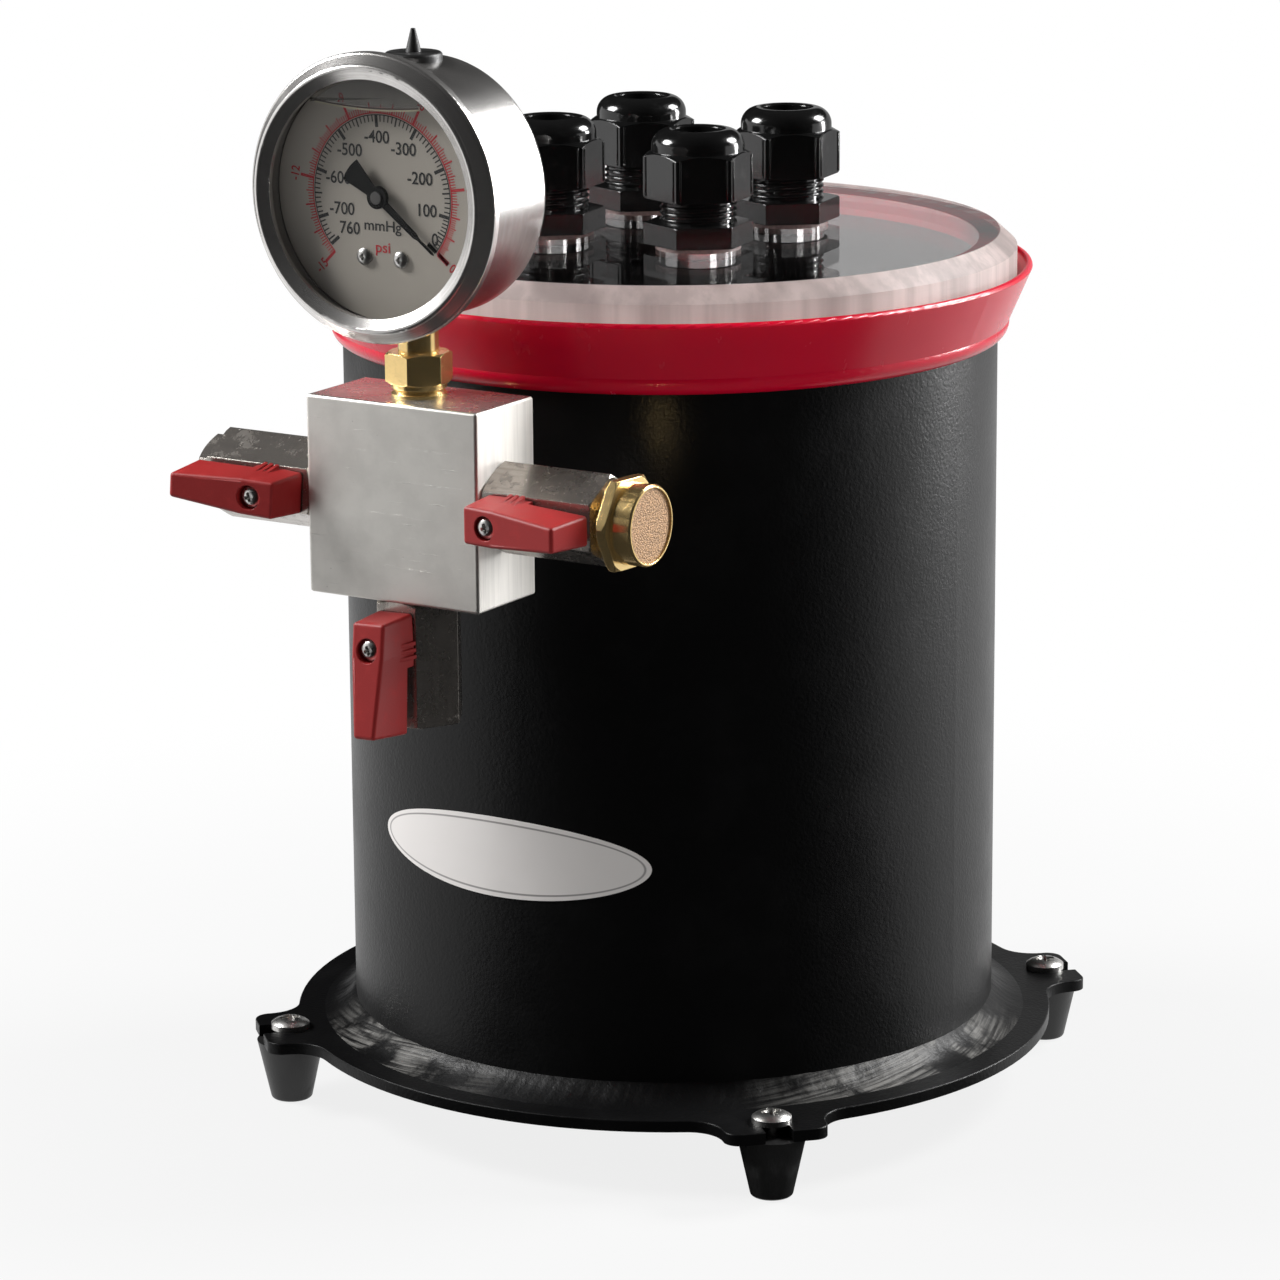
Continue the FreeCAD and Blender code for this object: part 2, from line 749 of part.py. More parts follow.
def make_valve_handle():
    """Moulded lever: wedge-shaped, hollow from behind, with a square socket at its hub."""
    top = valve_flat + handle_tip_rise
    skirt = handle_back + handle_skirt_lift
    low = handle_hub_end - handle_hub_draft - past
    high = handle_tip + handle_tip_draft + past
    plan = Part.makeLoft([handle_outline(handle_back), handle_outline(top + past)], True, True)
    side = side_prism([(low, handle_back), (handle_skirt_from, handle_back),
                       (handle_skirt_from, skirt), (high, skirt), (high, handle_face_at(high)),
                       (low, handle_face_at(low))], 2 * handle_hub_w)
    handle = plan.common(side)
    front = [e for e in handle.Edges if e.BoundBox.YMax > handle_face_at(low)]
    handle = handle.makeFillet(handle_edge_r, front)
    handle = handle.cut(handle_hollow())
    for k in range(handle_rib_count):
        rib = handle_rib(handle_rib_first + k * handle_rib_pitch)
        handle = handle.fuse(rib).fuse(rib.mirror(ORIGIN, Z_AXIS))
    half = stem_square / 2
    handle = handle.cut(box(-half, half, handle_back - past, stem_top, -half, half))
    handle = handle.cut(cyl(handle_screw_pocket_d / 2, Vec(0, handle_floor, 0), Y_AXIS,
                            top - handle_floor))
    return handle.cut(cyl(handle_screw_d / 2 + fit_gap, Vec(0, stem_top - past, 0), Y_AXIS,
                          handle_screw_land + 2 * past))


def handle_hollow():
    near = handle_hollow_from
    far = handle_tip - handle_wall
    side = side_prism([(near, handle_back - past), (far, handle_back - past),
                       (far, handle_face_at(far) - handle_face_wall),
                       (near, handle_face_at(near) - handle_face_wall)], 2 * handle_hub_w)
    half_near = handle_width_at(near) / 2 - handle_wall
    half_far = handle_width_at(far) / 2 - handle_wall
    plan = plan_prism([(near, -half_near), (far, -half_far), (far, half_far),
                       (near, half_near)], handle_back - past, handle_face_at(far))
    return side.common(plan)


def handle_rib(x):
    """Small grip rib that stands out of the hub's side and fades toward the front."""
    low = handle_back + lift_gap
    root = handle_hub_w / 2 - handle_side_draft / 2
    crest = handle_hub_w / 2 + handle_side_draft + handle_rib_rise
    corners = [Vec(x, low, root), Vec(x, low, crest), Vec(x, low + handle_rib_length, root)]
    return Part.Face(Part.makePolygon(corners + [corners[0]])).extrude(X_AXIS * handle_rib_w)


def make_handle_screw():
    shank = handle_screw_land + handle_screw_bite - lift_gap
    screw = pan_screw(handle_screw_head_d, handle_screw_head_h, handle_screw_d, shank)
    screw.rotate(ORIGIN, Z_AXIS, handle_screw_turn)
    return placed(screw, Vec(0, handle_floor, 0), Y_AXIS)


def valve_frames():
    """Where each valve stands: name, middle of its ball, the way its pipe leads out, and how
    far its lever is off the pipe."""
    heart = Vec(0, valve_axis_y, block_mid_z)
    side = block_w / 2 + valve_reach
    down = block_h / 2 + valve_reach
    return [("right", heart + X_AXIS * side, X_AXIS, 0.0),
            ("left", heart - X_AXIS * side, X_AXIS * -1, left_lever_off_deg),
            ("bottom", heart - Z_AXIS * down, Z_AXIS * -1, bottom_lever_off_deg)]


# Silencer, in the axes of the valve that it closes

silencer_hex_x = valve_body_end + silencer_collar_h
silencer_cap_x = silencer_hex_x + silencer_hex_h
silencer_end = silencer_cap_x + silencer_cap_h
silencer_cap_r = silencer_cap_d / 2
silencer_disc_r = silencer_cap_r - silencer_rim
silencer_disc_x = silencer_end - silencer_disc_sunk - silencer_disc_thick


def make_silencer_body():
    start = valve_body_end - silencer_thread_length
    fit_r = valve_port_d / 2 - fit_gap
    bore_r = valve_bore_d / 2
    body = turned((bore_r, start), (fit_r - thread_lead, start), (fit_r, start + thread_lead),
                  (fit_r, valve_body_end), (silencer_collar_d / 2, valve_body_end),
                  (silencer_collar_d / 2, silencer_cap_x), (silencer_cap_r, silencer_cap_x),
                  (silencer_cap_r, silencer_end - silencer_cap_edge),
                  (silencer_cap_r - silencer_cap_edge, silencer_end),
                  (silencer_disc_r, silencer_end), (silencer_disc_r, silencer_disc_x),
                  (bore_r, silencer_disc_x))
    nut = turned_hex(silencer_hex_af, silencer_hex_h, silencer_hex_turn, silencer_hex_chamfer,
                     silencer_hex_chamfer)
    nut = nut.cut(cyl(bore_r + past, ORIGIN, Z_AXIS, silencer_hex_h))
    nut.translate(Vec(0, 0, silencer_hex_x))
    return along_x(body.fuse(nut).removeSplitter())


def make_silencer_disc():
    return cyl(silencer_disc_r, Vec(silencer_disc_x, 0, 0), X_AXIS, silencer_disc_thick)


# Vacuum gauge: sections are turned about the gauge axis, heights run back from the crest

case_r = case_outer_d / 2
window_back = window_set_back + window_thick
dial_back = dial_set_back + dial_thick
movement_back = dial_back + movement_depth
pointer_front = pointer_set_back - pointer_hub_rise


def on_gauge(x, set_back, drop=0.0):
    return Vec(x, gauge_front_y + set_back, gauge_mid_z - drop)


def gauge_turned(start, *steps):
    return placed(turned(start, *steps), on_gauge(0, 0), Y_AXIS)


def make_bezel():
    outer = bezel_outer_d / 2
    crest = bezel_crest_d / 2
    inner = bezel_window_d / 2
    seat = window_d / 2 + fit_gap
    edge = bezel_edge
    return gauge_turned((inner, window_set_back), (inner, bezel_slope / 2),
                        (crest - 3 * edge, edge / 4), ((crest - edge, 0), (crest, edge)),
                        (outer - edge, bezel_slope), ((outer, bezel_slope + edge),
                        (outer, bezel_slope + 2 * edge)), (outer, bezel_depth - edge),
                        (outer - edge, bezel_depth), (seat, bezel_depth),
                        (seat, window_set_back))


def make_window():
    return gauge_turned((0, window_set_back), (window_d / 2, window_set_back),
                        (window_d / 2, window_back), (0, window_back))


def make_case():
    inner = case_r - case_wall
    spigot = window_d / 2
    round_r = case_edge_r
    round_mid = round_r * (1 - math.sqrt(0.5))
    case = gauge_turned(
        (inner, window_back), (spigot, window_back), (spigot, bezel_depth),
        (case_r, bezel_depth), (case_r, gauge_depth - round_r),
        ((case_r - round_mid, gauge_depth - round_mid), (case_r - round_r, gauge_depth)),
        (0, gauge_depth), (0, gauge_depth - case_wall), (inner, gauge_depth - case_wall))
    axis = Vec(0, gauge_axis_y, gauge_mid_z)
    case = case.cut(cyl(stem_neck_d / 2 + fit_gap, axis, Z_AXIS * -1, case_r + past))
    return case.cut(cyl(plug_neck_d / 2 + fit_gap, axis, Z_AXIS, case_r + past))


def dial_screw_spots():
    return [on_gauge(side * dial_screw_apart / 2, dial_set_back, dial_screw_drop)
            for side in (-1, 1)]


def make_dial():
    hole = spindle_d / 2 + lift_gap
    dial = gauge_turned((hole, dial_set_back), (dial_d / 2, dial_set_back),
                        (dial_d / 2, dial_back), (hole, dial_back))
    for spot in dial_screw_spots():
        dial = dial.cut(cyl(dial_screw_shank_d / 2 + fit_gap, spot - Y_AXIS * past, Y_AXIS,
                            dial_thick + 2 * past))
    return dial


def make_dial_screws():
    screw = pan_screw(dial_screw_d, dial_screw_h, dial_screw_shank_d,
                      dial_thick + movement_plate)
    return Part.makeCompound([placed(screw, spot, Y_AXIS * -1) for spot in dial_screw_spots()])


def make_pointer():
    """Tapered blade that ends in a fine needle, a fan-shaped tail and a hub, turned to rest
    at zero."""
    tail = math.radians(pointer_tail_half_deg)
    wide = pointer_blade_w / 2
    end = pointer_blade_end_w / 2
    fine = pointer_needle_w / 2
    needle_z = pointer_blade_r + pointer_shoulder
    left = (-pointer_tail_r * math.sin(tail), -pointer_tail_r * math.cos(tail))
    blade = outline((0, pointer_tip_r), (fine, pointer_tip_r - end), (fine, needle_z),
                    (end, pointer_blade_r), (wide, 0), (-left[0], left[1]),
                    ((0, -pointer_tail_r), left), (-wide, 0), (-end, pointer_blade_r),
                    (-fine, needle_z), (-fine, pointer_tip_r - end))
    solid = blade.extrude(Vec(0, pointer_thick, 0))
    solid = solid.fuse(cyl(pointer_hub_d / 2, Vec(0, -pointer_hub_rise, 0), Y_AXIS,
                           pointer_hub_h)).removeSplitter()
    solid = solid.cut(cyl(spindle_d / 2, Vec(0, -past, 0), Y_AXIS, pointer_hub_h + 2 * past))
    solid.rotate(ORIGIN, Y_AXIS, pointer_rest_deg)
    solid.translate(on_gauge(0, pointer_set_back))
    return solid


def make_spindle():
    pin = cyl(spindle_d / 2, on_gauge(0, pointer_front), Y_AXIS, movement_back - pointer_front)
    cap = cyl(spindle_cap_d / 2, on_gauge(0, pointer_front - spindle_cap_h), Y_AXIS,
              spindle_cap_h)
    return pin.fuse(cap).removeSplitter()


def make_movement():
    """Two plates on four pillars that carry the spindle behind the dial."""
    front = gauge_front_y + dial_back
    back = gauge_front_y + movement_back
    half = movement_w / 2
    low = gauge_mid_z - movement_down
    high = gauge_mid_z + movement_up
    frame = box(-half, half, front, front + movement_plate, low, high)
    frame = frame.fuse(box(-half, half, back - movement_plate, back, low, high))
    for x in (-half + movement_pillar_in, half - movement_pillar_in):
        for z in (low + movement_pillar_in, high - movement_pillar_in):
            frame = frame.fuse(cyl(movement_pillar_d / 2, Vec(x, front, z), Y_AXIS,
                                   movement_depth))
    frame = frame.cut(cyl(spindle_d / 2 + fit_gap, Vec(0, front - past, gauge_mid_z), Y_AXIS,
                          movement_depth + 2 * past))
    for spot in dial_screw_spots():
        frame = frame.cut(cyl(dial_screw_shank_d / 2, spot, Y_AXIS,
                              dial_thick + movement_plate))
    return frame


def make_gauge_stem():
    """Threaded end, grooved collar, hexagon and neck, and the core behind the movement."""
    low = block_top_z - thread_end
    collar_top = block_top_z + stem_collar_h
    collar_r = stem_collar_d / 2
    groove = stem_collar_groove
    case_low = gauge_mid_z - case_r
    neck_top = gauge_mid_z - movement_down - lift_gap
    body = turned((0, low), (thread_r - thread_lead, low), (thread_r, low + thread_lead),
                  (thread_r, block_top_z), (collar_r, block_top_z),
                  (collar_r, block_top_z + groove),
                  (collar_r - groove, block_top_z + 2 * groove),
                  (collar_r, block_top_z + 3 * groove), (collar_r, collar_top),
                  (stem_neck_d / 2, collar_top), (stem_neck_d / 2, neck_top), (0, neck_top))
    nut = turned_hex(stem_hex_af, stem_hex_h, stem_hex_turn - 90, stem_hex_chamfer,
                     stem_hex_chamfer)
    nut.translate(Vec(0, 0, collar_top))
    flare = Part.makeCone(stem_neck_d / 2, stem_flare_d / 2, stem_flare_h,
                          Vec(0, 0, case_low - stem_flare_h + past))
    flare.translate(Vec(0, gauge_axis_y, 0))
    body = body.fuse(nut)
    body.translate(Vec(0, gauge_axis_y, 0))
    round_case = gauge_turned((0, 0), (case_r, 0), (case_r, gauge_depth), (0, gauge_depth))
    body = body.fuse(flare.cut(round_case))
    half = stem_core_w / 2
    core = box(-half, half, gauge_front_y + movement_back, gauge_axis_y + half,
               case_low + case_wall + past, gauge_mid_z - movement_down + stem_core_up)
    body = body.fuse(core).removeSplitter()
    return body.cut(cyl(gauge_passage_d / 2, Vec(0, gauge_axis_y, low - past), Z_AXIS,
                        neck_top - low))


def make_gauge_plug():
    axis = Vec(0, gauge_axis_y, gauge_mid_z)
    top = case_r + plug_flange_rise
    flange = cyl(plug_flange_d / 2, axis + Z_AXIS * (case_r - plug_flange_rise), Z_AXIS,
                 2 * plug_flange_rise)
    rim = [e for e in flange.Edges if e.BoundBox.ZMin > gauge_mid_z + top - 0.01]
    flange = flange.makeFillet(plug_flange_edge, rim)
    flange = flange.cut(gauge_turned((0, -past), (case_r, -past), (case_r, gauge_depth + past),
                                     (0, gauge_depth + past)))
    neck_low = case_r - case_wall - plug_flange_rise
    neck = cyl(plug_neck_d / 2, axis + Z_AXIS * neck_low, Z_AXIS, case_r - neck_low + past)
    spike = Part.makeCone(plug_spike_d / 2, plug_spike_tip_d / 2, plug_spike_h,
                          axis + Z_AXIS * (top - fit_gap))
    return flange.fuse(neck).fuse(spike).removeSplitter()


# Every node and its shape

def build_nodes():
    nodes = {
        "vessel_tube": make_vessel_tube(),
        "base_plate": make_base_plate(),
        "base_weld": make_base_weld(),
        "foot_screws": make_foot_screws(),
        "foot_bushes": make_foot_bushes(),
        "vessel_label": make_vessel_label(),
        "rim_gasket": make_rim_gasket(),
        "lid_disc": make_lid(),
        "outlet_nipple": make_nipple(),
        "outlet_weld": make_nipple_weld(),
        "manifold_block": make_block(),
        "gauge_stem": make_gauge_stem(),
        "gauge_case": make_case(),
        "gauge_bezel": make_bezel(),
        "gauge_window": make_window(),
        "gauge_dial": make_dial(),
        "gauge_dial_screws": make_dial_screws(),
        "gauge_movement": make_movement(),
        "gauge_spindle": make_spindle(),
        "gauge_pointer": make_pointer(),
        "gauge_plug": make_gauge_plug(),
    }
    for k, degrees in enumerate(ear_angles()):
        nodes["foot_%d" % (k + 1)] = make_foot(degrees)
    still = {"body": make_valve_body(), "seats": make_valve_seats()}
    turning = {"ball": make_valve_ball(), "stem": make_valve_stem(),
               "handle": make_valve_handle(), "screw": make_handle_screw()}
    toward = Y_AXIS * -1
    for name, centre, outward, off_deg in valve_frames():
        flange_h = valve_insert_flange if name == "left" else 0
        valve = {"insert": make_valve_insert(flange_h), **still}
        for piece, shape in turning.items():
            valve[piece] = shape.rotated(ORIGIN, Y_AXIS, off_deg)
        for piece, shape in valve.items():
            nodes["%s_valve_%s" % (name, piece)] = in_axes(shape, centre, outward, toward)
        if name == "right":
            nodes["silencer_body"] = in_axes(make_silencer_body(), centre, outward, toward)
            nodes["silencer_disc"] = in_axes(make_silencer_disc(), centre, outward, toward)
    for k, body in enumerate(at_each_gland(make_gland_body())):
        nodes["gland_body_%d" % (k + 1)] = body
    for k, nut in enumerate(at_each_gland(make_gland_nut())):
        nodes["gland_nut_%d" % (k + 1)] = nut
    nodes["gland_seals"] = Part.makeCompound(at_each_gland(make_gland_seal()))
    nodes["gland_washers"] = Part.makeCompound(at_each_gland(make_gland_washer()))
    return nodes


os.makedirs("parts", exist_ok=True)
for node, shape in build_nodes().items():
    if not shape.isValid() or shape.Volume <= 0:
        raise ValueError("the shape of %s is not sound" % node)
    shape.exportStep("parts/%s.step" % node)
    print("%-20s solids %d  volume %.1f" % (node, len(shape.Solids), shape.Volume))
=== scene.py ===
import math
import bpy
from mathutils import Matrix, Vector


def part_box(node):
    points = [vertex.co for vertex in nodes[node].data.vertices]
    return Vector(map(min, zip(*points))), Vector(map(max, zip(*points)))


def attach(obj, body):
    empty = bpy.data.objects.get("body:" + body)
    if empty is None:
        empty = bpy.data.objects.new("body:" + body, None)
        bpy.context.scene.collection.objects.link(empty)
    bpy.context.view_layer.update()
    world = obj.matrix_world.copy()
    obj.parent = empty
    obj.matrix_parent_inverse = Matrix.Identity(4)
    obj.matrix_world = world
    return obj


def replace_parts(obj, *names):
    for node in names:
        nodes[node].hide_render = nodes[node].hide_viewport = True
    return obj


bl_info = {
    "name": "Resin trap looks",
    "version": (1, 0, 0),
    "blender": (4, 5, 0),
    "location": "View3D > Sidebar > Resin trap",
    "description": "Finishes, printed dial, threads and studio for the vacuum resin trap",
    "category": "Object",
}

import bmesh
import bpy
from bpy.props import FloatProperty, FloatVectorProperty, PointerProperty
from mathutils import Matrix, Vector, noise

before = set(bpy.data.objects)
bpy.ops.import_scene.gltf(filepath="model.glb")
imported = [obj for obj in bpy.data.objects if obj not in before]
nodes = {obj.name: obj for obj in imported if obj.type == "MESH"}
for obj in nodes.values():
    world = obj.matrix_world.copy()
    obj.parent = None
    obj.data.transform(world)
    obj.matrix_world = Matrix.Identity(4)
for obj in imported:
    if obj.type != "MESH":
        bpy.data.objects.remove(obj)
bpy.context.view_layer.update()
MM = 0.001


def node_centre(name):
    low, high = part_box(name)
    return (low + high) / 2


def colour(name, default, text):
    return FloatVectorProperty(name=name, description=text, default=default, size=3,
                               subtype="COLOR", min=0, max=1)


def length(name, default_mm, text):
    return FloatProperty(name=name, description=text, default=default_mm * MM,
                         subtype="DISTANCE", unit="LENGTH", precision=5, min=0)


def share(name, default, text):
    return FloatProperty(name=name, description=text, default=default, subtype="FACTOR",
                         min=0, max=1)


def brightness(name, default, text):
    return FloatProperty(name=name, description=text, default=default, min=0)


def angle(name, default_deg, text):
    return FloatProperty(name=name, description=text, default=math.radians(default_deg),
                         subtype="ANGLE")


# What a user would change


class VesselSettings(bpy.types.PropertyGroup):
    powder: colour("Powder coat", (0.0035, 0.0035, 0.0037), "Black of the vessel and its plate")
    grain: length("Grain", 0.9, "Size of one swelling of the powder coat")
    scuff: colour("Scuffs", (0.2, 0.195, 0.185), "Rubbed places on the weld")
    label: colour("Label", (0.76, 0.73, 0.71), "The bare label")
    zinc: colour("Zinc", (0.66, 0.65, 0.63), "Plated screws")
    rubber: colour("Rubber", (0.012, 0.012, 0.012), "Feet and plug")
    bead_pitch: length("Weld ripple", 3.4, "Distance from one ripple of the weld to the next")
    bead_height: length("Ripple height", 0.09, "How far a weld ripple stands out")


class SealSettings(bpy.types.PropertyGroup):
    silicone: colour("Silicone", (0.56, 0.001, 0.024), "Red gasket")
    acrylic: colour("Acrylic", (0.97, 0.95, 0.95), "Clear lid")
    # This colour also sets the sawn edge's painted glow.
    frost: colour("Sawn edge", (0.38, 0.315, 0.3), "Frosted chamfer and side of the lid")
    glow: share("Glow", 0.4, "How much light the sawn edge lets through")
    clear_radius: length("Clear radius", 84.5, "Inside this radius the lid is polished")


class GlandSettings(bpy.types.PropertyGroup):
    nylon: colour("Nylon", (0.006, 0.006, 0.006), "Gland bodies and nuts")
    washer: colour("Washer", (0.2, 0.125, 0.115), "Washers under the glands")
    pitch: length("Pitch", 1.5, "Pitch of the thread")
    crest: length("Crest radius", 9.7, "Outside of the thread")
    root: length("Root radius", 9.05, "Bottom of the thread")
    rib: length("Rib", 0.5, "Width of the grip ribs beside the nut's corners")


class MetalSettings(bpy.types.PropertyGroup):
    aluminium: colour("Aluminium", (0.72, 0.70, 0.66), "Manifold block")
    nickel: colour("Nickel", (0.50, 0.46, 0.42), "Valve bodies")
    brass: colour("Brass", (0.86, 0.62, 0.27), "Gauge stem and silencer")
    bronze: colour("Bronze", (0.44, 0.26, 0.13), "Sintered disc")
    # The case uses a darker copy of this steel as painted shade.
    steel: colour("Steel", (0.74, 0.72, 0.70), "Gauge case and bezel")
    handle: colour("Handle", (0.29, 0.016, 0.016), "Moulded levers")


class DialSettings(bpy.types.PropertyGroup):
    face: colour("Face", (0.43, 0.395, 0.345), "Dial plate")
    ink: colour("Ink", (0.02, 0.02, 0.02), "Millimetres of mercury")
    red_ink: colour("Red ink", (0.52, 0.03, 0.04), "Pounds per square inch")
    pointer: colour("Pointer", (0.004, 0.004, 0.004), "Black paint of the pointer")
    # The air's colour is painted shade.
    air: colour("Air", (0.09, 0.085, 0.08), "Shade of the air above the gauge's liquid")
    # The liquid's dark line is painted shade and its pale line a painted highlight.
    edge: colour("Liquid's edge", (0.05, 0.035, 0.03), "Dark line where the liquid ends")
    light: colour("Liquid's light", (0.42, 0.38, 0.27), "Pale line below the dark one")
    scale_radius: length("Scale radius", 19.25, "Outside of the black scale")
    number_height: length("Number height", 3.0, "Height of the black numbers")


class StudioSettings(bpy.types.PropertyGroup):
    """Directions count from the front toward the right."""
    key: brightness("Key", 34.0, "Softbox high on the left")
    rim: brightness("Rim", 34.0, "Softbox high behind, on the right")
    ambient: share("Ambient", 0.1, "Light from all around")
    side: brightness("Side", 3.0, "Low softbox behind, on the right, which nothing mirrors")
    fill: brightness("Fill", 5.0, "Low softbox on the right, which nothing mirrors")
    strip: brightness("Strip", 90.0, "Tall strip light that only mirror-like surfaces see")
    dark_from: angle("Dark from", -28, "Left end of the dark side")
    dark_to: angle("Dark to", 102, "Right end of the dark side")
    dim: share("Dim", 0.4, "Brightness of the wall behind the object, as the lid mirrors it")
    dim_from: angle("Dim from", 138, "Where the dim wall starts")
    dim_to: angle("Dim to", 210.4, "Where the dim wall turns black")
    back_to: angle("Back to", 255, "Where the black wall behind the object ends")
    roof_from: angle("Roof from", 28, "Height where the dark roof starts")


# Shader maths


class Socket:
    """An output of a node. Arithmetic on it adds Math nodes."""

    def __init__(self, tree, output):
        self.tree = tree
        self.output = output

    def outlet(self, key):
        """Another output of the same node."""
        return Socket(self.tree, self.output.node.outputs[key])

    def maths(self, operation, *values):
        return self.tree.node("ShaderNodeMath", {"operation": operation},
                              dict(enumerate(values)))

    def __add__(self, other):
        return self.maths("ADD", self, other)

    __radd__ = __add__

    def __sub__(self, other):
        return self.maths("SUBTRACT", self, other)

    def __rsub__(self, other):
        return self.maths("SUBTRACT", other, self)

    def __mul__(self, other):
        return self.maths("MULTIPLY", self, other)

    __rmul__ = __mul__

    def __truediv__(self, other):
        return self.maths("DIVIDE", self, other)

    def __pow__(self, other):
        return self.maths("POWER", self, other)

    def __abs__(self):
        return self.maths("ABSOLUTE", self)

    def most(self, other):
        return self.maths("MAXIMUM", self, other)

    def ramp(self, low, high, start=0.0, end=1.0):
        """From start where the value is low or less to end where it is high or more."""
        return self.tree.node("ShaderNodeMapRange", {"interpolation_type": "SMOOTHSTEP"},
                              {0: self, 1: low, 2: high, 3: start, 4: end})


class Tree:
    """A node tree, and the calls that fill it."""

    def __init__(self, graph, end):
        self.graph = graph
        self.graph.nodes.clear()
        self.end = self.graph.nodes.new(end)

    def node(self, kind, settings=None, sockets=None, out=0):
        made = self.graph.nodes.new(kind)
        for key, value in (settings or {}).items():
            setattr(made, key, value)
        for key, value in (sockets or {}).items():
            self.plug(made.inputs[key], value)
        return Socket(self, made.outputs[out])

    def plug(self, socket, value):
        if isinstance(value, Socket):
            self.graph.links.new(value.output, socket)
        elif socket.type == "RGBA":
            socket.default_value = (*tuple(value)[:3], 1)
        else:
            socket.default_value = value

    def show(self, shader):
        self.plug(self.end.inputs["Surface"], shader)

    def background_rays(self):
        """1 for rays from the camera, off a mirror or through glass, and 0 for light."""
        camera = self.node("ShaderNodeLightPath", out="Is Camera Ray")
        mirrored = camera.outlet("Is Glossy Ray")
        return camera.most(mirrored).most(camera.outlet("Is Transmission Ray"))


class Finish(Tree):
    """A material whose patterns follow the object's own coordinates."""

    def __init__(self, name):
        self.material = bpy.data.materials.new(name)
        self.material.use_nodes = True
        super().__init__(self.material.node_tree, "ShaderNodeOutputMaterial")
        self.place = self.node("ShaderNodeTexCoord", out="Object")

    def axes(self):
        split = self.node("ShaderNodeSeparateXYZ", None, {0: self.place})
        return [split.outlet(k) for k in range(3)]

    def radius(self):
        """Distance from the vessel's axis."""
        x, y, _ = self.axes()
        return (x ** 2 + y ** 2) ** 0.5

    def stretched(self, scale, turn=(0, 0, 0), shift=(0, 0, 0)):
        return self.node("ShaderNodeMapping", None,
                         {"Vector": self.place, "Scale": scale, "Rotation": turn,
                          "Location": shift})

    def noise(self, size, detail=3.0, rough=0.5, where=None):
        """Soft noise whose lumps are about size metres across."""
        return self.node("ShaderNodeTexNoise", None,
                         {"Vector": where or self.place, "Scale": 1 / size, "Detail": detail,
                          "Roughness": rough})

    def cells(self, size):
        """Distance from the nearest of points that are about size metres apart."""
        return self.node("ShaderNodeTexVoronoi", None,
                         {"Vector": self.place, "Scale": 1 / size})

    def mix(self, factor, first, second):
        return self.node("ShaderNodeMix", {"data_type": "RGBA"},
                         {0: factor, 6: first, 7: second}, out=2)

    def bump(self, height, distance, strength=1.0, over=None):
        sockets = {"Height": height, "Distance": distance, "Strength": strength}
        if over is not None:
            sockets["Normal"] = over
        return self.node("ShaderNodeBump", None, sockets)

    def eased_edges(self, radius):
        return self.node("ShaderNodeBevel", {"samples": 4}, {"Radius": radius})

    def surface(self, **sockets):
        return self.node("ShaderNodeBsdfPrincipled", None,
                         {key.replace("_", " "): value for key, value in sockets.items()})

    def glowing(self, strength=1.0):
        return self.node("ShaderNodeEmission", None,
                         {"Color": (1, 1, 1), "Strength": strength})

    def blend(self, factor, first, second):
        return self.node("ShaderNodeMixShader", None, {0: factor, 1: first, 2: second})

    def done(self, shader):
        self.show(shader)
        return self.material


# Finishes

# Where the weld is rubbed: the direction in radians from the front toward the right, how far
# to each side the scuffs are dense, how far they reach, and how strong they are
RUBBED = ((-0.42, 0.1, 0.5, 1.0), (1.35, 0.2, 0.65, 1.0), (-2.2, 0.2, 0.6, 0.7))


def scaled(tint, by):
    """A colour made darker or lighter."""
    return [min(1, c * by) for c in tint]


def powder_coat(s, name="powder_coat", gloss=0.2, scuffed=False):
    f = Finish(name)
    grain = f.noise(s.grain, 2.0, 0.55)
    orange_peel = f.noise(s.grain * 3.2, 1.0)
    dust = f.noise(0.024, 4.0, 0.65).ramp(0.45, 0.75)
    tint = f.mix(dust * 0.5, s.powder, scaled(s.powder, 1.9))
    rough = 0.32 + grain * 0.1 + dust * 0.06
    height = grain + orange_peel * 0.4
    if scuffed:
        x, y, z = f.axes()
        turn = f.node("ShaderNodeMath", {"operation": "ARCTAN2"}, {0: x, 1: y * -1})
        around, across = turn * (90 * MM), z - f.radius()
        where = f.node("ShaderNodeCombineXYZ", None,
                       {0: around * 0.04 + across * 0.12, 1: across - around * 0.2, 2: 0.0})
        streaks = f.noise(0.0013, 2.0, 0.6, where)
        patches = f.noise(0.013, 4.0, 0.65)
        places = [abs(turn - direction).ramp(dense, reach, strength, 0)
                  for direction, dense, reach, strength in RUBBED]
        rubbed = places[0].most(places[1]).most(places[2]) * patches.ramp(0.42, 0.6)
        rubbed = rubbed * streaks.ramp(0.3, 0.7)
        tint = f.mix(rubbed, tint, s.scuff)
        rough = rough + rubbed * 0.1
        height = height + streaks * rubbed
    return f.done(f.surface(Base_Color=tint, Roughness=rough, Specular_IOR_Level=gloss,
                            Normal=f.bump(height, 0.0001, 0.9)))


def rubber(s):
    f = Finish("rubber")
    moulded = f.noise(0.0006, 3.0)
    wear = f.noise(0.006, 3.0, 0.6).ramp(0.5, 0.8)
    tint = f.mix(wear * 0.6, s.rubber, scaled(s.rubber, 2.2))
    return f.done(f.surface(Base_Color=tint, Roughness=0.42 + wear * 0.2,
                            Normal=f.bump(moulded, 0.00004)))


def zinc(s):
    f = Finish("bright_zinc")
    pits = f.noise(0.0007, 4.0, 0.6)
    tint = f.mix(pits.ramp(0.35, 0.75), s.zinc, scaled(s.zinc, 0.7))
    return f.done(f.surface(Base_Color=tint, Metallic=1.0, Roughness=0.2 + pits * 0.2,
                            Normal=f.bump(pits, 0.00003)))


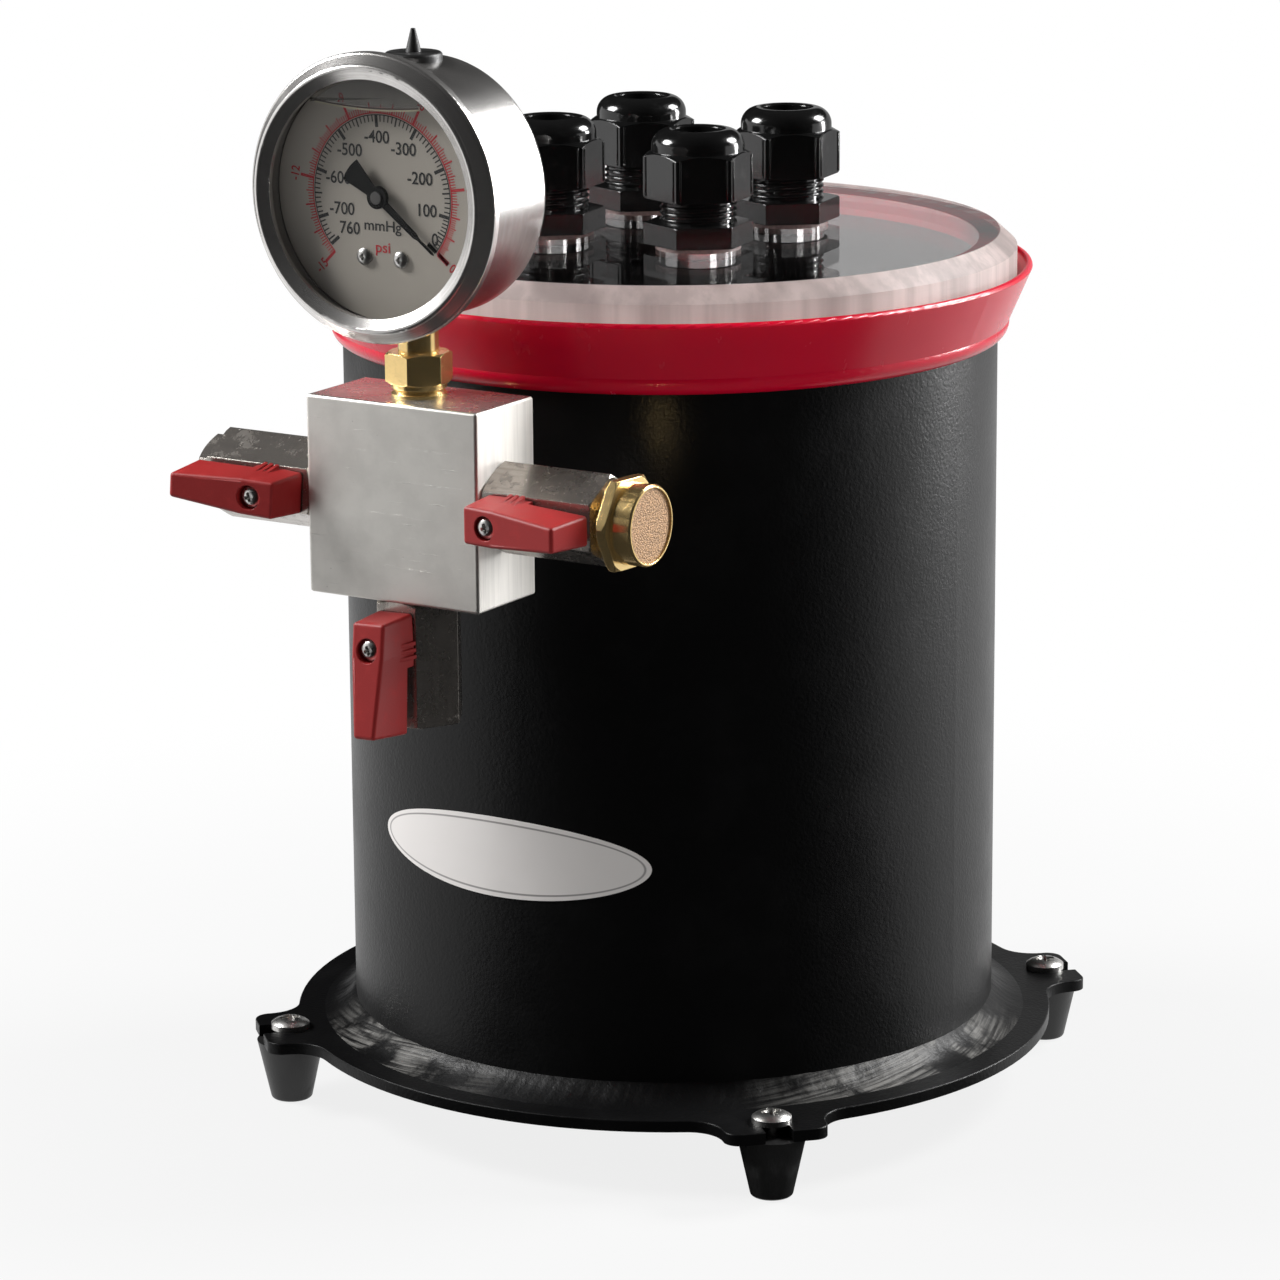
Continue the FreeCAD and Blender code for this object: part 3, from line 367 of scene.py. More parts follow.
def label_stock(s):
    """Glossy plain label with one thin grey line along its edge."""
    f = Finish("label_white")
    shade = f.noise(0.03, 2.0)
    x, _, z = f.axes()
    low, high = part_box("vessel_label")
    half = (high - low) / 2
    middle = node_centre("vessel_label")

    def oval(margin):
        across = (x - middle.x) / (half.x - margin)
        up = (z - middle.z) / (half.z - margin)
        return (across ** 2 + up ** 2).ramp(0.99, 1.01, 1, 0)

    line = oval(1.1 * MM) - oval(1.6 * MM)
    tint = f.mix(shade.ramp(0.3, 0.8) * 0.35, s.label, scaled(s.label, 0.82))
    tint = f.mix(line * 0.75, tint, scaled(s.label, 0.2))
    ripple = f.noise(0.004, 2.0, 0.5, f.stretched((0.4, 1, 1)))
    return f.done(f.surface(Base_Color=tint, Roughness=0.28 + shade * 0.1,
                            Normal=f.bump(ripple, 0.00003), Coat_Weight=0.3,
                            Coat_Roughness=0.15))


def silicone(s):
    f = Finish("silicone_red")
    cloud = f.noise(0.02, 3.0)
    skin = f.noise(0.0012, 3.0)
    smear = f.noise(0.005, 3.0, 0.6, f.stretched((1, 1, 0.25)))
    tint = f.mix(cloud.ramp(0.3, 0.75) * 0.1, s.silicone, scaled(s.silicone, 0.75))
    return f.done(f.surface(Base_Color=tint, Roughness=0.25 + smear.ramp(0.35, 0.8) * 0.03,
                            Normal=f.bump(skin + smear, 0.000006), Subsurface_Weight=0.25,
                            Subsurface_Radius=(0.006, 0.0008, 0.0008), Subsurface_Scale=1.0,
                            IOR=1.41))


def acrylic(s):
    """Polished sheet, through which lamps light what lies below, and its frosted edge, which
    also glows as painted light.
    """
    f = Finish("acrylic_clear")
    edge = f.radius().ramp(s.clear_radius - 0.2 * MM, s.clear_radius + 0.2 * MM)
    turned = f.noise(0.0004, 3.0, 0.6, f.stretched((0.03, 0.03, 1)))
    bands = f.noise(0.018, 2.0, 0.5, f.stretched((1, 1, 0.1)))
    brushed = f.noise(0.0045, 3.0, 0.6, f.stretched((1, 1, 0.05)))
    scratch = f.noise(0.0009, 4.0, 0.7, f.stretched((0.06, 1, 1), (0, 0, 0.7)))
    clear = f.surface(Base_Color=s.acrylic, Transmission_Weight=1.0, IOR=1.49,
                      Roughness=0.01 + scratch.ramp(0.66, 0.8) * 0.06)
    lit = f.node("ShaderNodeBsdfTransparent", None, {"Color": scaled(s.acrylic, 0.6)})
    clear = f.blend(f.node("ShaderNodeLightPath", out="Is Shadow Ray"), clear, lit)
    tint = f.mix(bands.ramp(0.35, 0.7), s.frost, scaled(s.frost, 1.45))
    tint = f.mix(brushed.ramp(0.35, 0.68) * 0.6, tint, scaled(s.frost, 0.62))
    # Painted light: the frosted edge's emission makes the sawn edge glow as if lit through the
    # sheet.
    painted_glow = f.mix(bands.ramp(0.36, 0.5), scaled(s.frost, 0.35), tint)
    matt = f.surface(Base_Color=tint, Transmission_Weight=0.3, IOR=1.49,
                     Roughness=0.42 + turned * 0.15, Normal=f.bump(turned, 0.00005),
                     Emission_Color=painted_glow, Emission_Strength=0.72)
    glow = f.node("ShaderNodeBsdfTranslucent", None, {"Color": s.frost})
    return f.done(f.blend(edge, clear, f.blend(s.glow, matt, glow)))


def turned_metal(name, tint, rough, grime, line=0.25 * MM, ease=0.0):
    """Metal with fine tool marks. Its edges are eased where ease is above zero."""
    f = Finish(name)
    lines = f.noise(line, 3.0, 0.6)
    dull = f.noise(0.005, 4.0, 0.65).ramp(0.42, 0.75)
    shade = f.mix(dull * grime, tint, scaled(tint, 0.45))
    over = f.eased_edges(ease) if ease else None
    return f.done(f.surface(Base_Color=shade, Metallic=0.88,
                            Roughness=rough + dull * 0.12 + lines * 0.06,
                            Normal=f.bump(lines, 0.000012, 1.0, over)))


def gauge_steel(name, tint, rough):
    """Stainless steel with polishing marks that run round the gauge's axis."""
    f = Finish(name)
    x, y, z = f.axes()
    centre = node_centre("gauge_case")
    out = ((x - centre.x) ** 2 + (z - centre.z) ** 2) ** 0.5
    where = f.node("ShaderNodeCombineXYZ", None, {0: out, 1: y, 2: 0.0})
    marks = f.noise(0.0009, 4.0, 0.7, where)
    film = f.noise(0.009, 3.0, 0.6)
    shade = f.mix(film.ramp(0.4, 0.7) * 0.3, tint, scaled(tint, 0.6))
    shade = f.mix(marks.ramp(0.4, 0.62) * 0.3, shade, scaled(tint, 0.55))
    return f.done(f.surface(Base_Color=shade, Metallic=0.9, Roughness=rough + marks * 0.1,
                            Normal=f.bump(marks, 0.00001, 1.0, f.eased_edges(0.3 * MM))))


def nickel(s, name, along):
    """Worn plating, with drawing marks along the bar that the valve was turned from."""
    f = Finish(name)
    film = f.noise(0.011, 3.0, 0.6)
    pores = f.cells(0.0016).ramp(0.0, 0.12, 1, 0) * f.noise(0.007, 2.0).ramp(0.52, 0.6)
    drawn = f.noise(0.0009, 4.0, 0.7, f.stretched(along))
    smudge = f.noise(0.0055, 5.0, 0.75).ramp(0.5, 0.62)
    scratch = f.noise(0.0011, 5.0, 0.8, f.stretched((1, 0.05, 1), (0.5, 0, 0.4)))
    scratch = scratch.ramp(0.62, 0.69)
    tint = f.mix(film.ramp(0.35, 0.7) * 0.5, s.nickel, scaled(s.nickel, 0.6))
    tint = f.mix(smudge * 0.45, tint, scaled(s.nickel, 0.4))
    tint = f.mix(drawn.ramp(0.45, 0.65) * 0.4, tint, scaled(s.nickel, 0.45))
    tint = f.mix(pores * 0.7, tint, scaled(s.nickel, 0.3))
    tint = f.mix(scratch * 0.5, tint, scaled(s.nickel, 1.5))
    rough = 0.14 + film * 0.08 + smudge * 0.1 + drawn * 0.06 + scratch * 0.14
    height = drawn * 0.6 + scratch * 0.5 - pores
    return f.done(f.surface(Base_Color=tint, Metallic=0.9, Roughness=rough,
                            Normal=f.bump(height, 0.00003, 0.8, f.eased_edges(0.4 * MM))))


def block_aluminium(s):
    """Scratched face and top. The sawn sides have upright saw marks and are less metallic; their
    paler colour is painted light.
    """
    f = Finish("block_aluminium")
    x, _, z = f.axes()
    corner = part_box("manifold_block")[1]
    side = abs(x).ramp(corner.x - 0.2 * MM, corner.x - 0.05 * MM)
    top = z.ramp(corner.z - 0.15 * MM, corner.z - 0.05 * MM)
    streaks = f.noise(0.0011, 4.0, 0.6, f.stretched((1, 1, 0.03)))
    steps = f.noise(0.004, 1.0, 0.4, f.stretched((0, 1, 0)))
    fine = f.noise(0.00035, 3.0, 0.6, f.stretched((1, 1, 0.2)))
    cloud = f.noise(0.009, 4.0, 0.6)
    pits = f.cells(0.0034).ramp(0.0, 0.075, 1, 0) * f.noise(0.012, 2.0).ramp(0.5, 0.6)
    scratch = f.noise(0.0012, 5.0, 0.8, f.stretched((0.04, 1, 1), (0, 0.6, 0)))
    scratched = scratch.ramp(0.6, 0.66) * (1 - side)
    tint = f.mix(cloud.ramp(0.35, 0.7) * 0.5, s.aluminium, scaled(s.aluminium, 0.8))
    tint = f.mix(pits * 0.6, tint, scaled(s.aluminium, 0.4))
    # Painted light: the sawn sides are painted paler so that they look brightly lit.
    tint = f.mix(side * 0.9, tint, scaled(s.aluminium, 1.38))
    tint = f.mix(side * streaks.ramp(0.42, 0.62) * 0.35, tint, s.aluminium)
    tint = f.mix(scratched * 0.4, tint, scaled(s.aluminium, 0.5))
    rough = 0.4 + cloud * 0.14 - scratched * 0.12 + side * streaks * 0.1 - top * 0.2
    height = fine * 0.2 + side * (streaks + steps * 1.5) - pits * 1.2 + scratched * 0.4
    return f.done(f.surface(Base_Color=tint, Metallic=0.85 - side * 0.72, Roughness=rough,
                            Normal=f.bump(height, 0.00006, 0.8)))


def moulded_handle(s):
    f = Finish("handle_plastic")
    spark = f.noise(0.00035, 2.0)
    wear = f.noise(0.004, 4.0, 0.65).ramp(0.5, 0.8)
    tint = f.mix(wear * 0.35, s.handle, scaled(s.handle, 1.7))
    return f.done(f.surface(Base_Color=tint, Roughness=0.46 + wear * 0.12,
                            Specular_IOR_Level=0.35,
                            Normal=f.bump(spark, 0.00004, 0.8, f.eased_edges(0.3 * MM))))


def nylon(s):
    f = Finish("gland_nylon")
    orange_peel = f.noise(0.0022, 2.0)
    fine = f.noise(0.0003, 2.0)
    rub = f.noise(0.006, 4.0, 0.6).ramp(0.55, 0.8)
    tint = f.mix(rub * 0.6, s.nylon, scaled(s.nylon, 2.6))
    return f.done(f.surface(Base_Color=tint, Roughness=0.13 + rub * 0.12, IOR=1.53,
                            Normal=f.bump(orange_peel + fine * 0.3, 0.00003, 0.8,
                                          f.eased_edges(0.3 * MM))))


def washer_rubber(s):
    f = Finish("washer")
    speck = f.noise(0.0008, 3.0)
    tint = f.mix(speck.ramp(0.35, 0.7), s.washer, scaled(s.washer, 0.6))
    return f.done(f.surface(Base_Color=tint, Roughness=0.45 + speck * 0.1,
                            Normal=f.bump(speck, 0.00003)))


def sintered(s):
    """Small bronze beads pressed together."""
    f = Finish("bronze_sinter")
    beads = f.cells(0.00042)
    clump = f.noise(0.0012, 3.0, 0.6)
    tint = f.mix(clump.ramp(0.3, 0.75), s.bronze, scaled(s.bronze, 1.35))
    # Painted shade: each bead darkens toward its edge and into the gaps between beads.
    tint = f.mix(beads.ramp(0.25, 0.75), tint, scaled(s.bronze, 0.5))
    return f.done(f.surface(Base_Color=tint, Metallic=0.3, Roughness=0.6,
                            Normal=f.bump(beads * -1 + clump * 0.5, 0.00016, 1.0)))


def window_glass():
    """Clear glass, which mirrors more the flatter it is looked at."""
    f = Finish("gauge_glass")
    facing = f.node("ShaderNodeLayerWeight", None, {"Blend": 0.5}, "Facing")
    dust = f.noise(0.0015, 5.0, 0.7).ramp(0.62, 0.8)
    return f.done(f.surface(Base_Color=(0.95, 0.95, 0.95), Metallic=1.0, Roughness=0.03,
                            Alpha=facing ** 5 * 0.9 + dust * 0.01 + 0.004))


def dial_plate(s):
    f = Finish("dial_grey")
    paint = f.noise(0.0005, 3.0)
    cloud = f.noise(0.014, 3.0)
    tint = f.mix(cloud.ramp(0.3, 0.75) * 0.3, s.face, scaled(s.face, 0.86))
    return f.done(f.surface(Base_Color=tint, Roughness=0.45 + paint * 0.1,
                            Normal=f.bump(paint, 0.00001)))


def ink(name, tint):
    f = Finish(name)
    grain = f.noise(0.0003, 2.0).ramp(0.3, 0.8)
    return f.done(f.surface(Base_Color=f.mix(grain * 0.4, tint, scaled(tint, 0.7)),
                            Roughness=0.5))


def pointer_paint(s):
    f = Finish("pointer_black")
    grain = f.noise(0.0004, 2.0)
    tint = f.mix(grain.ramp(0.4, 0.8), s.pointer, scaled(s.pointer, 2.25))
    return f.done(f.surface(Base_Color=tint, Roughness=0.5 + grain * 0.1,
                            Specular_IOR_Level=0.12))


def seat_plastic():
    f = Finish("seat_plastic")
    grain = f.noise(0.0006, 2.0)
    tint = f.mix(grain, (0.8, 0.79, 0.76), (0.7, 0.69, 0.66))
    return f.done(f.surface(Base_Color=tint, Roughness=0.35 + grain * 0.1))


def painted_air_shade(s):
    """The air above the liquid, shown as a half-clear darker sheet: painted shade."""
    f = Finish("gauge_air")
    haze = f.noise(0.01, 2.0).ramp(0.3, 0.8)
    return f.done(f.surface(Base_Color=s.air, Roughness=0.15, Alpha=0.5 + haze * 0.2))


# Modelling

shared_finish = {}


def dress(material, *names):
    """Give CAD nodes their finish."""
    for name in names:
        data = nodes[name].data
        if data.materials:
            data.materials[0] = material
        else:
            data.materials.append(material)


def place_mesh(bm, name, material):
    """Turn a bmesh into an object of the scene."""
    data = bpy.data.meshes.new(name)
    bm.to_mesh(data)
    bm.free()
    data.materials.append(material)
    made = bpy.data.objects.new(name, data)
    bpy.context.scene.collection.objects.link(made)
    return made


def piece(bm, name, body, material, sharp_deg=35.0):
    """Turn a bmesh into a finished piece that rides on a body."""
    made = place_mesh(bm, name, material)
    made.data.shade_smooth()
    made.data.set_sharp_from_angle(angle=math.radians(sharp_deg))
    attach(made, body)
    return made


def wire(bm, points, closed=False):
    """Join points with edges, and give back the new vertices and edges."""
    made = [bm.verts.new(p) for p in points]
    pairs = list(zip(made, made[1:])) + ([(made[-1], made[0])] if closed else [])
    return made + [bm.edges.new(pair) for pair in pairs]


def cut_off(bm, point, normal):
    """Clear what lies beyond a plane, on the side that its normal points to."""
    bmesh.ops.bisect_plane(bm, geom=bm.verts[:] + bm.edges[:] + bm.faces[:], plane_co=point,
                           plane_no=normal, clear_outer=True)


def outward(bm, centre):
    """Point a ring's or a thread's faces away from the upright axis through centre."""
    bmesh.ops.recalc_face_normals(bm, faces=bm.faces)
    facing = 0.0
    for face in bm.faces:
        away = face.calc_center_median() - Vector(centre)
        away.z = 0
        facing += face.normal.dot(away) * face.calc_area()
    if facing < 0:
        bmesh.ops.reverse_faces(bm, faces=bm.faces)


def weld_bead(s):
    """Fillet weld around the vessel's foot, with the ripples of hand welding."""
    low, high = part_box("base_weld")
    outer = high.x
    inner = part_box("vessel_tube")[1].x
    sunk = inner - 0.4 * MM
    hollow = 0.75 * MM
    steps = 10
    section = [(outer, low.z), (sunk, low.z), (sunk, high.z)]
    for k in range(1, steps):
        part = k / steps
        sag = hollow * 4 * part * (1 - part)
        section.append((inner + (outer - inner) * part - sag * 0.5,
                        high.z + (low.z - high.z) * part - sag * 0.86))
    bm = bmesh.new()
    geom = wire(bm, [(r, 0, z) for r, z in section], closed=True)
    bmesh.ops.spin(bm, geom=geom, cent=(0, 0, 0), axis=(0, 0, 1), dvec=(0, 0, 0),
                   angle=math.tau, steps=720, use_merge=True, use_duplicate=False)
    bmesh.ops.remove_doubles(bm, verts=bm.verts, dist=1e-6)
    ripples = round(math.tau * outer / s.bead_pitch)
    edge = 0.3 * MM
    for v in bm.verts:
        r = math.hypot(v.co.x, v.co.y)
        if r > inner + edge and v.co.z > low.z + edge:
            part = (r - inner) / (outer - inner)
            turn = math.atan2(v.co.y, v.co.x)
            bend = 2.6 * part * part
            uneven = 2.6 * noise.noise(v.co * 45)
            arch = abs(math.sin(ripples / 2 * turn + bend + uneven))
            lift = s.bead_height * (0.5 - arch) + 0.4 * MM * noise.noise(v.co * 120)
            slope = Vector((v.co.x / r, v.co.y / r, 1.4)).normalized()
            v.co += slope * lift * math.sin(math.pi * min(1, part + 0.12))
    outward(bm, (0, 0, 0))
    return piece(bm, "weld_bead", "trap",
                 powder_coat(s, "weld_powder_coat", 0.14, True), 60)


def gland_thread(name, centre, s, low, high):
    """Helical thread turned around a root cylinder."""
    section = [(s.root, 0), (s.root, 0.08), (s.crest, 0.42), (s.crest, 0.58), (s.root, 0.92),
               (s.root, 1)]
    bm = bmesh.new()
    geom = wire(bm, [(centre.x + r, centre.y, low - s.pitch * 0.5 + s.pitch * part)
                     for r, part in section])
    around = 48
    turns = (high - low) / s.pitch
    bmesh.ops.spin(bm, geom=geom, cent=centre, axis=(0, 0, 1), dvec=(0, 0, s.pitch / around),
                   angle=math.tau * turns, steps=round(around * turns), use_merge=False,
                   use_duplicate=False)
    bmesh.ops.remove_doubles(bm, verts=bm.verts, dist=1e-6)
    cut_off(bm, (0, 0, low), (0, 0, -1))
    cut_off(bm, (0, 0, high), (0, 0, 1))
    outward(bm, centre)
    piece(bm, name, "trap", shared_finish["nylon"], 25)


def grip_ribs(name, nut, body, s):
    """Slim ribs that run up each side of the nut's six corners."""
    centre = node_centre(nut)
    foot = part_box(nut)[0].z
    flat = 12.0 * MM
    half_side = 6.93 * MM
    from_corner = 1.15 * MM
    sunk = 0.02 * MM
    bottom = foot + 0.5 * MM
    top = foot + 10.6 * MM
    hexagon_deg = 38
    bm = bmesh.new()
    for k in range(6):
        turn = Matrix.Rotation(math.radians(hexagon_deg - 90 + 60 * k), 3, "Z")
        for hand in (-1, 1):
            bar = bmesh.ops.create_cube(bm, size=1.0)["verts"]
            edges = list({e for v in bar for e in v.link_edges})
            bmesh.ops.scale(bm, vec=(s.rib, s.rib, top - bottom), verts=bar)
            bmesh.ops.translate(bm, vec=(flat - sunk, hand * (half_side - from_corner),
                                         (top + bottom) / 2), verts=bar)
            eased = bmesh.ops.bevel(bm, geom=edges, offset=s.rib * 0.3, offset_type="OFFSET",
                                    segments=2, profile=0.5, affect="EDGES", material=-1)
            whole = list({v for f in eased["faces"] for v in f.verts})
            bmesh.ops.rotate(bm, cent=(0, 0, 0), matrix=turn, verts=whole)
            bmesh.ops.translate(bm, vec=(centre.x, centre.y, 0), verts=whole)
    piece(bm, name, body, shared_finish["nylon"], 50)


# The dial and its print

UPRIGHT = Matrix.Rotation(math.radians(90), 4, "X")
TICK_LIFT = 0.05 * MM
ARC_LIFT = 0.06 * MM
TEXT_LIFT = 0.07 * MM
CAP_HEIGHT = 0.72
MERCURY_PER_PSI = 51.715


def mercury_angle(value):
    """Degrees clockwise from the top for a value in millimetres of mercury below zero. As in
    the photograph, the first hundred is drawn narrower than the others."""
    degrees = 0.275 if value < 100 else 0.35
    return 101.0 + (100 - value) * degrees


def psi_angle(value):
    return mercury_angle(value * MERCURY_PER_PSI)


def on_dial(x, z, lift):
    """Shift from the origin to a place in front of the dial, x and z from its middle."""
    centre = node_centre("gauge_dial")
    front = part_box("gauge_dial")[0].y
    return Matrix.Translation((centre.x + x, front - lift, centre.z + z))


def tick(bm, clockwise, near, far, width):
    """Line of a scale from one radius to another, at degrees clockwise from the top."""
    turn = math.radians(clockwise)
    r = (near + far) / 2
    there = on_dial(r * math.sin(turn), r * math.cos(turn), TICK_LIFT)
    size = Matrix.Diagonal((width, far - near, 1, 1))
    bmesh.ops.create_grid(bm, x_segments=1, y_segments=1, size=0.5,
                          matrix=there @ Matrix.Rotation(turn, 4, "Y") @ UPRIGHT @ size)


def arc(bm, start, end, r, width):
    """Line that joins the ticks of a scale, between two angles in degrees."""
    turn = math.radians(start)
    points = [on_dial(k * math.sin(turn), k * math.cos(turn), ARC_LIFT).translation
              for k in (r - width / 2, r + width / 2)]
    bmesh.ops.spin(bm, geom=wire(bm, points), cent=on_dial(0, 0, ARC_LIFT).translation,
                   axis=(0, 1, 0), dvec=(0, 0, 0), angle=math.radians(end - start), steps=120,
                   use_merge=False, use_duplicate=False)


def write(bm, text, x, z, height, squeeze, bold, turn_deg=0):
    """Set a word or number flat on the dial, centred at x and z from its middle."""
    curve = bpy.data.curves.new("print", "FONT")
    curve.body = text
    curve.size = height / CAP_HEIGHT
    curve.align_x = "CENTER"
    curve.align_y = "CENTER"
    curve.offset = bold
    curve.resolution_u = 4
    shown = bpy.data.objects.new("print", curve)
    flat = bpy.data.meshes.new_from_object(shown)
    flat.transform(on_dial(x, z, TEXT_LIFT) @ Matrix.Rotation(math.radians(turn_deg), 4, "Y")
                   @ UPRIGHT @ Matrix.Diagonal((squeeze, 1, 1, 1)))
    bm.from_mesh(flat)
    bpy.data.meshes.remove(flat)
    bpy.data.objects.remove(shown)
    bpy.data.curves.remove(curve)


def face_front(bm):
    bmesh.ops.remove_doubles(bm, verts=bm.verts, dist=1e-7)
    wrong = [face for face in bm.faces if face.normal.y > 0]
    bmesh.ops.reverse_faces(bm, faces=wrong)


def print_piece(bm, name, material):
    """Piece of print on the dial."""
    face_front(bm)
    piece(bm, name, "trap", material)


def black_scale(s):
    """Ticks every ten millimetres of mercury, longer and bolder at fifties and hundreds."""
    bm = bmesh.new()
    r = s.scale_radius
    long_tick = 2.9 * MM
    for value in range(0, 761, 10):
        if value % 100 == 0 or value == 760:
            reach, width = long_tick, 0.85 * MM
        elif value % 50 == 0:
            reach, width = 2.1 * MM, 0.4 * MM
        else:
            reach, width = 1.6 * MM, 0.32 * MM
        tick(bm, mercury_angle(value), r - reach, r, width)
    tick(bm, mercury_angle(0), r - long_tick, r, 1.2 * MM)
    arc(bm, mercury_angle(760), mercury_angle(0), r, 0.24 * MM)
    print_piece(bm, "dial_black_scale", shared_finish["ink"])


def black_numbers(s):
    """Numbers of the black scale. Each has its x and z from the dial's middle in mm."""
    bm = bmesh.new()
    marks = (("-400", -1.2, 13.9), ("-300", 6.3, 11.5), ("-200", 10.8, 4.9), ("100", 12.5, -2.5),
             ("-500", -9.0, 10.3), ("-600", -12.4, 3.5), ("-700", -11.5, -3.8),
             ("760", -9.4, -8.3), ("0", 14.8, -9.2))
    for text, x, z in marks:
        write(bm, text, x * MM, z * MM, s.number_height, 0.95, 0.06 * MM)
    write(bm, "mmHg", 0, -7.1 * MM, 2.6 * MM, 1.1, 0.04 * MM)
    print_piece(bm, "dial_black_numbers", shared_finish["ink"])


def red_scale(s):
    """Ticks every tenth of a psi, longer and bolder at halves, ones and threes."""
    bm = bmesh.new()
    r = s.scale_radius + 0.45 * MM
    long_tick = 3.8 * MM
    for tenth in range(0, 151):
        if tenth % 30 == 0:
            reach, width = long_tick, 0.7 * MM
        elif tenth % 10 == 0:
            reach, width = 2.5 * MM, 0.42 * MM
        elif tenth % 5 == 0:
            reach, width = 2.0 * MM, 0.3 * MM
        else:
            reach, width = 1.5 * MM, 0.24 * MM
        tick(bm, psi_angle(tenth / 10), r, r + reach, width)
    tick(bm, psi_angle(0), r + 0.3 * MM, r + long_tick, 1.2 * MM)
    arc(bm, psi_angle(15), psi_angle(0), r, 0.3 * MM)
    print_piece(bm, "dial_red_scale", shared_finish["red_ink"])


def red_numbers(s):
    """Numbers of the red scale, which stand along it and stay readable from the right side."""
    bm = bmesh.new()
    r = 25.0 * MM
    for value in (0, 3, 6, 9, 12, 15):
        turn_deg = psi_angle(value)
        turn = math.radians(turn_deg)
        upright = turn_deg if -100 < turn_deg < 100 else turn_deg - math.copysign(90, turn_deg)
        write(bm, "-%d" % value if value else "0", r * math.sin(turn), r * math.cos(turn),
              2.4 * MM, 0.8, 0.05 * MM, upright)
    write(bm, "psi", 0, -12.2 * MM, 2.6 * MM, 1.12, 0.04 * MM)
    print_piece(bm, "dial_red_numbers", shared_finish["red_ink"])


# The gauge's liquid

LOWEST_AT = -1.0 * MM


def level_at(x):
    """Height of the liquid above the gauge's axis. It climbs toward the case on both sides."""
    return 21.4 * MM + 4.0 * (x - LOWEST_AT) ** 2


def air_space(material):
    """Flat slice of the gauge's air space, above the liquid, which carries the air's painted
    shade.
    """
    centre = node_centre("gauge_window")
    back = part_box("gauge_window")[1].y + 0.1 * MM
    bm = bmesh.new()
    bmesh.ops.create_circle(bm, cap_ends=True, segments=128, radius=27.9 * MM,
                            matrix=Matrix.Translation((centre.x, back, centre.z)) @ UPRIGHT)
    low = centre.z + level_at(LOWEST_AT)
    cut_off(bm, (0, 0, low), (0, 0, -1))
    bmesh.ops.triangulate(bm, faces=bm.faces)
    bmesh.ops.subdivide_edges(bm, edges=bm.edges, cuts=3)
    for v in bm.verts:
        if v.co.z < low + 0.1 * MM:
            v.co.z = centre.z + level_at(v.co.x - centre.x)
    face_front(bm)
    piece(bm, "gauge_air", "trap", material)


def meniscus(name, drop, width, material):
    """Painted line where the liquid climbs the window, a drop below the air's lower edge:
    painted shade when dark, painted highlight when pale.
    """
    centre = node_centre("gauge_window")
    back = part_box("gauge_window")[1].y + 0.05 * MM
    left, across, steps = -16.5, 29.5, 24
    bm = bmesh.new()
    points = []
    for k in range(steps + 1):
        x = (left + across * k / steps) * MM
        points.append((centre.x + x, back, centre.z + level_at(x) - drop))
    wire(bm, points)
    made = bmesh.ops.extrude_edge_only(bm, edges=bm.edges[:])
    bmesh.ops.translate(bm, vec=(0, 0, -width),
                        verts=[v for v in made["geom"] if isinstance(v, bmesh.types.BMVert)])
    face_front(bm)
    piece(bm, name, "trap", material)


# Operators


